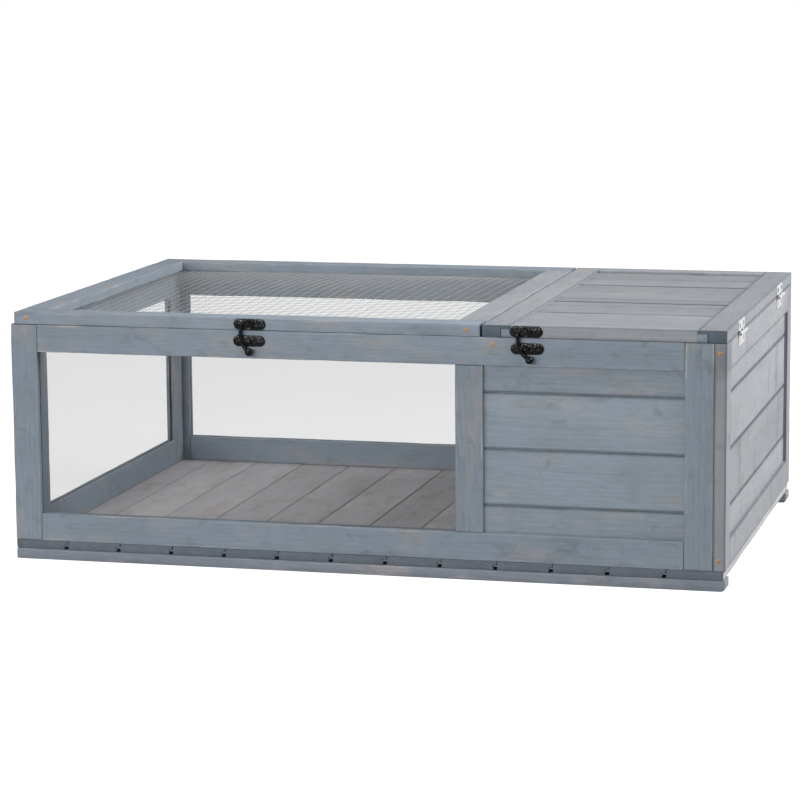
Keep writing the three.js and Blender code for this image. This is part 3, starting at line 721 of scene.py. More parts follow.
def finishes():
    """Every material by name, made at the first call."""
    if "frame timber" in bpy.data.materials:
        return bpy.data.materials
    look = bpy.context.scene.hutch_finish
    stained_timber("frame timber", look.frame_stain, look, 0.50)
    stained_timber("board timber", look.board_stain, look, 0.50, 1.1)
    stained_timber("side timber", look.side_stain, look, 0.40, 0.7, 0.10)
    stained_timber("lid timber", look.lid_stain, look, 0.45, 0.9)
    stained_timber("lid rail timber", look.rail_stain, look, 0.35, 0.9)
    # The floor boards' colour carries painted light for the dim inside of the run.
    stained_timber("floor timber", look.floor_stain_and_light, look, 0.60, 0.9)
    stained_timber("skid timber", look.skid_stain, look, 0.50)
    metal("bright zinc", look.zinc, 0.30, 0.30, 500, 0.06 * MM, metallic=0.4)
    metal("galvanised wire", look.wire, 0.34, 0.30, 700, 0.05 * MM, metallic=0.3)
    metal("yellow plate", look.brass, 0.42, 0.25, 900, 0.03 * MM, metallic=0.7, specular=0.15)
    metal("dark steel", look.steel, 0.5, 0.25, 900, 0.03 * MM, metallic=0.3, specular=0.06)
    enamel = {"metallic": 0.0, "specular": 0.15, "hammered": True}
    metal("black enamel", look.black, 0.04, 0.5, 430, 0.55 * MM, **enamel)
    clear_sheet("clear acrylic", look.acrylic, look.haze)
    return bpy.data.materials


# ---- Operators: base, walls, boards, lids ------------------------------------------------------


# Name, place, size and spread in degrees of each lamp. Its power is the setting of the same name.
LAMPS = (
    ("key", (2.5, 0.3, 1.9), 2.4, 180),
    ("fill", (-2.7, -3.2, 1.05), 0.8, 180),
    ("top", (-0.35, -0.5, 1.9), 0.4, 55),
    ("front", (-1.0, -4.5, 1.25), 0.8, 180),
)
LAMP_TARGET = (0, 0, 0.15)


class HUTCH_OT_stage(bpy.types.Operator):
    """Sets up the camera, the soft lights and the pale floor"""

    bl_idname = "hutch.stage"
    bl_label = "Studio"

    def execute(self, context):
        """The camera's columns are right, up and back, turned about the line of sight by the roll.

        The sight is (sin yaw cos pitch, cos yaw cos pitch, -sin pitch), right is (cos yaw,
        -sin yaw, 0), and down is sight x right.
        """
        look = context.scene.hutch_stage
        sight = Vector(
            (
                math.sin(look.yaw) * math.cos(look.pitch),
                math.cos(look.yaw) * math.cos(look.pitch),
                -math.sin(look.pitch),
            )
        )
        right = Vector((math.cos(look.yaw), -math.sin(look.yaw), 0))
        down = sight.cross(right)
        turned_right = math.cos(look.roll) * right + math.sin(look.roll) * down
        turned_down = -math.sin(look.roll) * right + math.cos(look.roll) * down
        camera = bpy.data.cameras.new("camera")
        camera.lens = look.lens
        camera.sensor_width = SENSOR
        camera.clip_end = 100.0
        eye = bpy.data.objects.new("camera", camera)
        turn = Matrix((turned_right, -turned_down, -sight)).transposed()
        eye.matrix_world = Matrix.Translation(look.eye) @ turn.to_4x4()
        context.scene.collection.objects.link(eye)
        context.scene.camera = eye
        context.scene.view_settings.view_transform = "Standard"

        for name, place, size, spread in LAMPS:
            self.lamp(context, name, place, size, spread, getattr(look, name))
        self.sky(context, look.sky)
        self.floor(look.floor)
        return {"FINISHED"}

    def lamp(self, context, name, place, size, spread, power):
        """A square soft light that faces the middle of the hutch. A small spread narrows its beam."""
        light = bpy.data.lights.new(name, "AREA")
        light.size = size
        light.energy = power
        light.spread = math.radians(spread)
        lamp = bpy.data.objects.new(name, light)
        lamp.location = place
        aim = Vector(LAMP_TARGET) - Vector(place)
        lamp.rotation_euler = aim.to_track_quat("-Z", "Y").to_euler()
        context.scene.collection.objects.link(lamp)

    def sky(self, context, strength):
        """Even light from all round: strength + (1 - strength) seen, so white where it is seen."""
        world = bpy.data.worlds.new("sky")
        world.use_nodes = True
        world.node_tree.nodes.clear()
        tree = world.node_tree
        seen = add(tree, "ShaderNodeLightPath").outputs["Is Camera Ray"]
        amount = sums(tree, "MULTIPLY_ADD", seen, 1.0 - strength, strength)
        light = add(tree, "ShaderNodeBackground", {"Color": (1, 1, 1, 1), "Strength": amount})
        output = add(tree, "ShaderNodeOutputWorld")
        tree.links.new(light.outputs[0], output.inputs[0])
        context.scene.world = world

    def floor(self, radius):
        """A pale disc under the hutch: x = r cos t, y = r sin t. It glows a little more where seen."""
        sides = 64
        turn = np.linspace(0, 2 * math.pi, sides, endpoint=False)
        rim = np.stack([radius * np.cos(turn), radius * np.sin(turn), np.zeros(sides)], axis=1)
        mesh = bpy.data.meshes.new("floor")
        mesh.from_pydata(rim, [], [list(range(sides))])
        material, tree, shader = blank("pale floor")
        place = add(tree, "ShaderNodeTexCoord").outputs["Object"]
        grey = between(tree, noise(tree, place, 3.0), 0.0, 1.0, 0.19, 0.21)
        tree.links.new(grey, shader.inputs["Base Color"])
        shader.inputs["Roughness"].default_value = 0.9
        shader.inputs["Emission Color"].default_value = (1, 1, 1, 1)
        seen = add(tree, "ShaderNodeLightPath").outputs["Is Camera Ray"]
        glow = sums(tree, "MULTIPLY_ADD", seen, 0.60, 0.35)
        tree.links.new(glow, shader.inputs["Emission Strength"])
        mesh.materials.append(material)
        ground = bpy.data.objects.new("floor", mesh)
        bpy.context.scene.collection.objects.link(ground)


class HUTCH_OT_base(bpy.types.Operator):
    """Builds the two skids and the floor boards"""

    bl_idname = "hutch.base"
    bl_label = "Base"

    def execute(self, context):
        """Boards lie side by side from left to right, and each one runs from front to back."""
        look = context.scene.hutch_timber
        finish = finishes()
        for index, node in enumerate(("front_skid", "back_skid")):
            self.skid(node, np.random.default_rng(40 + index), look, finish["skid timber"])

        low, high = box_of("floor_boards")
        rng = np.random.default_rng(7)
        count = round((high[0] - low[0]) / FLOOR_COVER)
        seams = np.linspace(low[0], high[0], count + 1)
        tones = rng.uniform(-1, 1, count)
        gaps = rng.uniform(*FLOOR_SEAM, count + 1)
        boards = []
        for i in range(count):
            # Drawn mirrored in x and turned back, so that the tongue of each board points to the left.
            left, right = -seams[i + 1], -seams[i]
            tongue, groove = i > 0, i < count - 1
            around = (gaps[i + 1], gaps[i])
            outline = board_outline(left, right, low[2], high[2], look, tongue, groove, True, around)
            outline = outline[::-1] * (-1, 1)
            back = rng.uniform(0, 0.5 * MM)
            start, stop = low[1] + back, high[1] - back
            # The seams between the boards are marked dark: painted shade in them, together with pooled
            # stain.
            boards.append(bar(outline, start, stop, (0, 2, 1), rng, look, tones[i], pooled_stain_and_shade=0.22))
        piece("floor_planks", boards, finish["floor timber"], "hutch", ["floor_boards"])
        return {"FINISHED"}

    def skid(self, node, rng, look, material):
        """A flat runner with its lower corners sawn off, its outline carried from front to back."""
        low, high = box_of(node)
        left, right = 0.9 * MM, 2.8 * MM
        corners = np.array(
            [
                (low[0] + left, low[2]),
                (high[0] - right, low[2]),
                (high[0], low[2] + right),
                (high[0], high[2]),
                (low[0], high[2]),
                (low[0], low[2] + left),
            ]
        )
        runner = bar(corners, low[1], high[1], (0, 2, 1), rng, look, grain_axis=0)
        # The outline runs across the grain here, so the ends of the bar are long edges, not cut ends.
        runner["layers"]["cut"] = np.zeros_like(runner["layers"]["cut"])
        piece(node + "_runner", [runner], material, "hutch", [node])


class HUTCH_OT_walls(bpy.types.Operator):
    """Builds the timbers of the four walls and of the partition"""

    bl_idname = "hutch.walls"
    bl_label = "Wall frames"

    def execute(self, context):
        """Posts stand, and rails lie between them. A groove in the middle of its edge holds a window."""
        look = context.scene.hutch_timber
        finish = finishes()
        window = box_of("front_window")
        width = window[1][1] - window[0][1] + 2 * look.groove_clearance
        # Node, axis it runs along, whether it has tenons, side of its groove, window in it.
        timbers = [
            ("front_left_stile", 2, False, "right", "front_window"),
            ("front_right_stile", 2, False, None, None),
            ("front_bottom_rail", 0, True, "top", "front_window"),
            ("front_top_rail", 0, True, "bottom", "front_window"),
            ("front_middle_upright", 2, True, "left", "front_window"),
            ("back_left_stile", 2, False, "right", "back_window"),
            ("back_right_stile", 2, False, None, None),
            ("back_bottom_rail", 0, True, "top", "back_window"),
            ("back_top_rail", 0, True, "bottom", "back_window"),
            ("back_middle_upright", 2, True, "left", "back_window"),
            ("left_front_post", 2, False, "top", "left_window"),
            ("left_back_post", 2, False, "bottom", "left_window"),
            ("left_bottom_rail", 1, True, "top", "left_window"),
            ("left_top_rail", 1, True, "bottom", "left_window"),
            ("right_front_post", 2, False, None, None),
            ("right_back_post", 2, False, None, None),
            ("right_bottom_rail", 1, True, None, None),
            ("right_top_rail", 1, True, None, None),
            ("partition_front_post", 2, False, None, None),
            ("partition_door_post", 2, False, None, None),
            ("partition_top_rail", 1, False, None, None),
        ]
        for index, (node, axis, tenons, side, pane) in enumerate(timbers):
            rng = np.random.default_rng(100 + index)
            grooves = []
            if side:
                thin = 0 if pane == "left_window" else 1
                grooves = [(side, middle_of(pane, thin), width, look.groove_depth)]
            on_side = node.startswith("right")
            slot = "side_timber" if on_side else "frame_timber"
            # The pooled share marks the edges dark: painted shade in the seams and joints, together with
            # pooled stain.
            pooled_stain_and_shade = 0.7 if on_side else 0.0
            # Posts took more stain than rails. The timbers seen from inside are painted lighter, as painted
            # light for the dim inside of the run.
            soaked = 1.5 if axis == 2 else 0.0
            inside = 1.8 if node in ("back_bottom_rail", "left_bottom_rail", "left_back_post") else 0.0
            tone = rng.uniform(-1, 1) - soaked + inside
            shape = plain_bar(node, axis, rng, look, tenons, grooves, tone, pooled_stain_and_shade)
            material = finish[slot.replace("_", " ")]
            piece(node + "_timber", [shape], material, "hutch", [node])
        return {"FINISHED"}


class HUTCH_OT_boards(bpy.types.Operator):
    """Builds the tongue and groove boards of the walls and the partition"""

    bl_idname = "hutch.boards"
    bl_label = "Wall boards"

    def execute(self, context):
        """Boards lie on each other: a short one at the bottom, then full ones up to the top rail."""
        look = context.scene.hutch_timber
        finish = finishes()
        # Node, axis the boards run along, first seam above the foot of the panel, slot, seed.
        panels = [
            ("front_boards", 0, 39.8 * MM, "board_timber", 11),
            ("back_boards", 0, 39.8 * MM, "board_timber", 12),
            ("right_boards", 1, 41.0 * MM, "side_timber", 13),
            ("partition_boards", 1, 68.3 * MM, "board_timber", 14),
        ]
        for node, axis, first, slot, seed in panels:
            low, high = box_of(node)
            through = 1 - axis
            rng = np.random.default_rng(seed)
            places = np.arange(low[2] + first, high[2] - look.seam, BOARD_COVER)
            seams = np.concatenate([[low[2]], places, [high[2]]])
            # The board seams are marked dark: painted shade in the seams, together with pooled stain.
            pooled_stain_and_shade = 1.0 if node == "right_boards" else 0.7
            axes = (2, through, axis)
            faces = (low[through], high[through])
            shells = []
            for i in range(len(seams) - 1):
                tongue, groove = i < len(seams) - 2, i > 0
                outline = board_outline(seams[i], seams[i + 1], *faces, look, tongue, groove)
                tone = rng.uniform(-1, 1)
                shells.append(bar(outline, low[axis], high[axis], axes, rng, look, tone, pooled_stain_and_shade=pooled_stain_and_shade))
            material = finish[slot.replace("_", " ")]
            piece(node + "_planks", shells, material, "hutch", [node])
        return {"FINISHED"}


class HUTCH_OT_lids(bpy.types.Operator):
    """Builds the frames of both lids and the boards of the solid lid"""

    bl_idname = "hutch.lids"
    bl_label = "Lids"

    def execute(self, context):
        """On the mesh lid the rails run through to the corners, on the solid lid the stiles do."""
        look = context.scene.hutch_timber
        metals = context.scene.hutch_metal
        finish = finishes()
        rng = np.random.default_rng(21)
        self.mesh_lid(look, metals, finish, rng)
        self.solid_lid(look, finish, rng)
        return {"FINISHED"}

    def mesh_lid(self, look, metals, finish, rng):
        """Each timber has a rebate below along its inner edge, which on the rails stops short."""
        wide, deep = metals.rebate, metals.rebate_depth
        left, right = box_of("mesh_lid_left_stile"), box_of("mesh_lid_right_stile")
        for node, axis in (("front_rail", 0), ("back_rail", 0), ("left_stile", 1), ("right_stile", 1)):
            low, high = box_of("mesh_lid_" + node)
            across = 1 - axis
            is_rail = axis == 0
            trim = 0.0 if is_rail else look.tenon
            start, stop = low[axis] + trim, high[axis] - trim
            stops = (left[1][0] - wide - start, right[0][0] + wide - start) if is_rail else ()
            ends = (low[across], high[across])
            outer, inner = ends if node in ("front_rail", "left_stile") else ends[::-1]
            step = inner - math.copysign(wide, inner - outer)

            def shape(at, step=step, outer=outer, inner=inner, low=low, high=high, stops=stops):
                """The L at each place. Outside its stops the rebate's depth is nearly nothing."""
                inside = (at > stops[0]) & (at < stops[1]) if stops else np.full(at.shape, True)
                depth = np.where(inside, deep, HAIR)
                return stepped(outer, inner, step, low[2], low[2] + depth, high[2])

            tone = rng.uniform(-1, 1)
            timber = bar(shape, start, stop, (across, 2, axis), rng, look, tone, breaks=stops)
            name = "mesh_lid_" + node
            material = finish["lid timber" if node == "right_stile" else "lid rail timber"]
            piece(name + "_timber", [timber], material, "mesh_lid", [name])

    def solid_lid(self, look, finish, rng):
        """At both ends of a stile its inner lower corner is cut away, and a lap of the rail fills it."""
        wide, cheek = look.lid_joint, look.lid_cheek
        for node in ("left_stile", "right_stile"):
            low, high = box_of("solid_lid_" + node)
            span = high[1] - low[1]
            outer, inner = (low[0], high[0]) if node == "left_stile" else (high[0], low[0])
            back = inner - math.copysign(wide, inner - outer)

            def shape(at, low=low, high=high, outer=outer, inner=inner, back=back, span=span):
                """The L at each place: its foot is cut away at the ends and full between them."""
                open_end = (at < wide) | (at > span - wide)
                step = np.where(open_end, back, inner)
                foot = np.where(open_end, high[2] - cheek, low[2] + HAIR)
                return stepped(outer, inner, step, low[2], foot, high[2], HAIR)

            breaks = (wide, span - wide)
            tone = rng.uniform(-1, 1)
            axes = (0, 2, 1)
            # The stile's edges are marked dark: painted shade in the gap beside the boards, together with
            # pooled stain.
            timber = bar(shape, low[1], high[1], axes, rng, look, tone, breaks=breaks, pooled_stain_and_shade=0.55)
            name = "solid_lid_" + node
            piece(name + "_timber", [timber], finish["lid timber"], "solid_lid", [name])

        reach = wide - LAP_ROOM
        axes = (1, 2, 0)
        for node in ("front_rail", "back_rail"):
            low, high = box_of("solid_lid_" + node)
            start, stop = low[0] + look.tenon, high[0] - look.tenon
            across = (low[1], low[1] + reach) if node == "front_rail" else (high[1] - reach, high[1])
            outline = rectangle(low[[1, 2]], high[[1, 2]])
            # The rails and their laps have dark edges: painted shade in the joints, together with pooled
            # stain.
            main = bar(outline, start, stop, axes, rng, look, 0.4, pooled_stain_and_shade=0.35)
            lap = rectangle((across[0], low[2]), (across[1], high[2] - cheek - LAP_ROOM))
            lap[:, 0] = np.clip(lap[:, 0], low[1] + HAIR, high[1] - HAIR)
            laps = [
                bar(lap, start - reach, start + LAP_IN_RAIL, axes, rng, look, -1.5, pooled_stain_and_shade=0.5),
                bar(lap, stop - LAP_IN_RAIL, stop + reach, axes, rng, look, 1.0, pooled_stain_and_shade=0.5),
            ]
            name = "solid_lid_" + node
            piece(name + "_timber", [main], finish["lid timber"], "solid_lid", [name])
            piece(name + "_laps", laps, finish["lid rail timber"], "solid_lid")

        # The front board and one further back are ripped, so each has one seam more.
        low, high = box_of("solid_lid_boards")
        places = np.arange(low[1] + LID_FRONT_BOARD, high[1] - look.seam, BOARD_COVER)
        middles = places[:2] + np.array([-0.5, 1.5]) * BOARD_COVER
        seams = np.sort(np.concatenate([[low[1]], places, middles, [high[1]]]))
        gaps = np.where(np.isclose(seams, places[0]), TIGHT_SEAM, LID_SEAM)
        boards = []
        for i in range(len(seams) - 1):
            ends = (seams[i], seams[i + 1], low[2], high[2])
            tongue, groove = i < len(seams) - 2, i > 0
            outline = board_outline(*ends, look, tongue, groove, False, gaps[i : i + 2])
            sunk = high[2] - rng.uniform(0, 0.7 * MM)
            outline[:, 1] = np.where(outline[:, 1] == high[2], sunk, outline[:, 1])
            darker = 1.3 if seams[i] > places[1] else 0.0
            tone = rng.uniform(-0.8, 0.8) - darker
            # The lid's board seams are marked dark: painted shade in the seams, together with pooled stain.
            boards.append(bar(outline, low[0], high[0], axes, rng, look, tone, pooled_stain_and_shade=0.8))
        material = finish["lid timber"]
        piece("solid_lid_planks", boards, material, "solid_lid", ["solid_lid_boards"])


# ---- Operators: windows, wire, hinges, latches, screws ------------------------------------------


class HUTCH_OT_windows(bpy.types.Operator):
    """Gives the three windows their clear acrylic"""

    bl_idname = "hutch.windows"
    bl_label = "Windows"

    def execute(self, context):
        """The panes are flat sheets, so they keep the shape that they have in the frame."""
        for node in ("front_window", "back_window", "left_window"):
            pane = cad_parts[node]
            pane.data.materials.clear()
            pane.data.materials.append(finishes()["clear acrylic"])
        return {"FINISHED"}


class HUTCH_OT_wire(bpy.types.Operator):
    """Builds the welded wire mesh and its staples"""

    bl_idname = "hutch.wire"
    bl_label = "Wire mesh"

    def execute(self, context):
        """Each wire follows the crown of the mesh and sways a little.

        At each place along it the height is that of the frame, plus the crown, plus or minus 0.4
        of a wire, so that the two layers touch where they are welded.
        """
        look = context.scene.hutch_metal
        low, high = box_of("mesh_lid_wire_mesh")
        rng = np.random.default_rng(31)
        thick = look.wire
        level = high[2] - thick
        wires = []
        for axis in (0, 1):
            across = 1 - axis
            count = round((high[across] - low[across] - thick) / look.wire_pitch)
            lines = np.linspace(low[across] + thick, high[across] - thick, count + 1)
            steps = np.linspace(low[axis] + thick / 2, high[axis] - thick / 2, 2 * count + 1)
            sway = (slow_noise(rng, len(lines), steps, SWAY_SPACING) - 0.5) * 2 * look.sway
            for line, wander in zip(lines, sway):
                path = np.zeros((len(steps), 3))
                path[:, axis] = steps
                path[:, across] = line + wander
                path[:, 2] = level + self.crown(path, low, high, look) + (0.4 - 0.8 * axis) * thick
                wires.append(tube(path, thick / 2, (0, 0, 1), 6))
        material = finishes()["galvanised wire"]
        piece("mesh_lid_wires", wires, material, "mesh_lid", ["mesh_lid_wire_mesh"])
        piece("mesh_lid_staples", self.staples(low, high, look), material, "mesh_lid")
        return {"FINISHED"}

    def crown(self, path, low, high, look):
        """Height over the frame: an arch, highest behind the middle and nearly level side to side.

        With shares x of the way from left to right and y from front to back it is the crown times
        sin(pi x)^0.4 sin(pi y^1.7) (0.85 + 0.15 w), w = sin(7 x + 2 y) cos(9 y - 3 x).
        """
        x, y = [(path[:, i] - low[i]) / (high[i] - low[i]) for i in (0, 1)]
        dome = np.sin(math.pi * np.clip(x, 0, 1)) ** 0.4 * np.sin(math.pi * np.clip(y, 0, 1) ** 1.7)
        waves = np.sin(7.0 * x + 2.0 * y) * np.cos(9.0 * y - 3.0 * x)
        return look.crown * dome * (0.85 + 0.15 * waves)

    def staples(self, low, high, look):
        """Bent wires over the mesh in the rebate: down, across and up again, round 6 points."""
        half, leg = look.staple / 2, 1.6 * MM
        inset, from_corner, radius = 4.5 * MM, 22 * MM, 0.45 * MM
        bend = np.array([(-half, leg), (-half, -0.2 * MM), (-half + 0.6 * MM, -0.9 * MM)])
        bend = np.concatenate([bend, (bend * (-1, 1))[::-1]])
        made = []
        for axis in (0, 1):
            across = 1 - axis
            count = round((high[axis] - low[axis]) / look.staple_pitch)
            for place in np.linspace(low[axis] + from_corner, high[axis] - from_corner, count):
                for edge in (low[across] + inset, high[across] - inset):
                    path = np.zeros((len(bend), 3))
                    path[:, axis] = place + bend[:, 0]
                    path[:, across] = edge
                    path[:, 2] = high[2] - 1.2 * look.wire + bend[:, 1]
                    side = np.eye(3)[across]
                    made.append(tube(path, radius, side, 6))
        return made


def screw(centre, radius, out, rng):
    """A countersunk head with a cross recess, set almost flush.

    Radius r from 0 to 1 and angle t give the height in radii: a shallow dome, 0.12 (1 - r^2), less
    a cross 0.34 deep. Its arms lie where r times the smaller of |cos t| and |sin t| is under 0.15,
    out to r = 0.68. The first ring is the rim half a radius down in the timber.
    """
    rings, sides = 12, 32
    r = np.concatenate([[1.0, 1.0], np.linspace(0.96, 0.04, rings)])
    t = np.linspace(0, 2 * math.pi, sides, endpoint=False) + rng.uniform(0, math.pi)
    turn = t - rng.uniform(0, math.pi)
    across = np.minimum(np.abs(np.cos(turn)), np.abs(np.sin(turn)))[None, :] * r[:, None]
    arm = np.clip(1 - across / 0.15, 0, 1) * np.clip((0.68 - r[:, None]) / 0.1, 0, 1)
    dome = 0.12 * (1 - r[:, None] ** 2) - 0.34 * np.sqrt(arm)
    height = np.where(np.arange(len(r))[:, None] == 0, -0.5, dome) * radius
    out = Vector(out)
    side = out.orthogonal().normalized()
    other = out.cross(side)
    ring = r[:, None, None] * radius
    flat = ring * (np.cos(t)[None, :, None] * np.array(side) + np.sin(t)[None, :, None] * np.array(other))
    return loft(np.array(centre) + flat + height[..., None] * np.array(out))


class HUTCH_OT_hinges(bpy.types.Operator):
    """Builds the four butt hinges: two leaves with knuckles, a pin and screws each"""

    bl_idname = "hutch.hinges"
    bl_label = "Hinges"

    def execute(self, context):
        """Each hinge is built round its pin along x, with the timber behind it at +y."""
        look = context.scene.hutch_metal
        hinges = [
            ("mesh_lid_left_hinge", "mesh_lid", 180),
            ("mesh_lid_right_hinge", "mesh_lid", 180),
            ("solid_lid_front_hinge", "solid_lid", 90),
            ("solid_lid_back_hinge", "solid_lid", 90),
        ]
        finish = finishes()
        for index, (name, lid, turn) in enumerate(hinges):
            low, high = box_of(name + "_pin")
            rotation = Matrix.Rotation(math.radians(turn), 4, "Z")
            place = Matrix.Translation((low + high) / 2) @ rotation
            leaf_low, leaf_high = box_of(name + "_lid_leaf")
            across = 0 if turn == 180 else 1
            size = {
                "length": leaf_high[across] - leaf_low[across],
                "top": leaf_high[2] - (low[2] + high[2]) / 2,
                "reach": (leaf_high[1 - across] - leaf_low[1 - across]) / 2,
                "pin": (high[2] - low[2]) / 2,
            }
            rng = np.random.default_rng(60 + index)
            for part, side, body, heads in (
                ("lid_leaf", 1, lid, "dark steel"),
                ("body_leaf", -1, "hutch", "yellow plate"),
            ):
                shells = self.leaf(side, size, look)
                made = [moved(s, place) for s in shells]
                node = f"{name}_{part}"
                piece(node + "_plate", made, finish["bright zinc"], body, [node])
                screws = [moved(s, place) for s in self.screws(side, size, look, rng)]
                piece(node + "_screws", screws, finish[heads], body)
            pin = [moved(self.pin(size), place)]
            piece(name + "_pin_rod", pin, finish["bright zinc"], "hutch", [name + "_pin"])
        return {"FINISHED"}

    def leaf(self, side, size, look):
        """A flat plate with round outer corners, and strips that curl round the pin.

        A strip's outline goes down the plate's back, round an arc of the knuckle's radius R, back
        along an arc of radius R less the thickness, and up the plate's front.
        """
        outer, thick, half = size["reach"], look.leaf, size["length"] / 2
        near, far = outer + LEAF_GAP, size["top"]
        radius, ease = 2.2 * MM, 0.25 * MM
        turn = np.linspace(0, math.pi / 2, 6)
        corner = np.stack([np.sin(turn), np.cos(turn)], axis=1)
        right = (half - radius, far - radius) + radius * corner
        left = right[::-1] * (-1, 1)
        outline = np.concatenate([[(-half, near), (half, near)], right[::-1], left[::-1]])
        depth = np.array([outer - thick, outer - thick + 0.3 * ease, outer - thick + ease, outer])
        shrink = np.array([ease, 0.3 * ease, 0, 0])
        centre = outline.mean(axis=0)
        scale = 1 - shrink[:, None] / (half, (far - near) / 2)
        flat = centre + (outline - centre) * scale[:, None]
        rings = np.zeros((4, len(outline), 3))
        rings[..., 0] = flat[..., 0]
        rings[..., 1] = depth[:, None]
        rings[..., 2] = side * flat[..., 1]
        plates = [loft(rings)]

        arc = np.radians(np.linspace(0, -282, 30))
        circle = np.stack([np.cos(arc), np.sin(arc)], axis=1)
        behind, front = outer - BURIED, outer - thick + BURIED
        foot = near + 1.5 * MM
        curl = np.concatenate(
            [
                [(behind, foot), (behind, near)],
                look.knuckle * circle,
                (look.knuckle - thick) * circle[::-1],
                [(front, near + 0.4 * MM), (front, foot)],
            ]
        )
        pitch = size["length"] / look.knuckles
        for i in range(1 if side > 0 else 0, look.knuckles, 2):
            start = -half + i * pitch + (look.knuckle_gap / 2 if i else 0)
            stop = -half + (i + 1) * pitch - (look.knuckle_gap / 2 if i < look.knuckles - 1 else 0)
            rings = np.zeros((2, len(curl), 3))
            rings[..., 0] = np.array([start, stop])[:, None]
            rings[..., 1] = curl[:, 0]
            rings[..., 2] = side * curl[:, 1]
            plates.append(loft(rings))
        return plates

    def screws(self, side, size, look, rng):
        """Two countersunk heads in the middle of a leaf's height, 0.62 of the way to its ends."""
        outer, half = size["reach"], size["length"] / 2
        height = (outer + LEAF_GAP + size["top"]) / 2
        face = outer - look.leaf - BURIED
        return [
            screw((x, face, side * height), look.hinge_screw, (0, -1, 0), rng)
            for x in (-half * 0.62, half * 0.62)
        ]

    def pin(self, size):
        """A rod with a low domed head at each end, inside the length of the knuckles."""
        half, r = size["length"] / 2, size["pin"]
        dome = [(0.15 * r, half), (0.6 * r, half - 0.1 * MM), (r, half - 0.4 * MM)]
        profile = [(radius, -x) for radius, x in dome] + dome[::-1]
        return lathe(profile, (0, 0, 0), 0, 20)


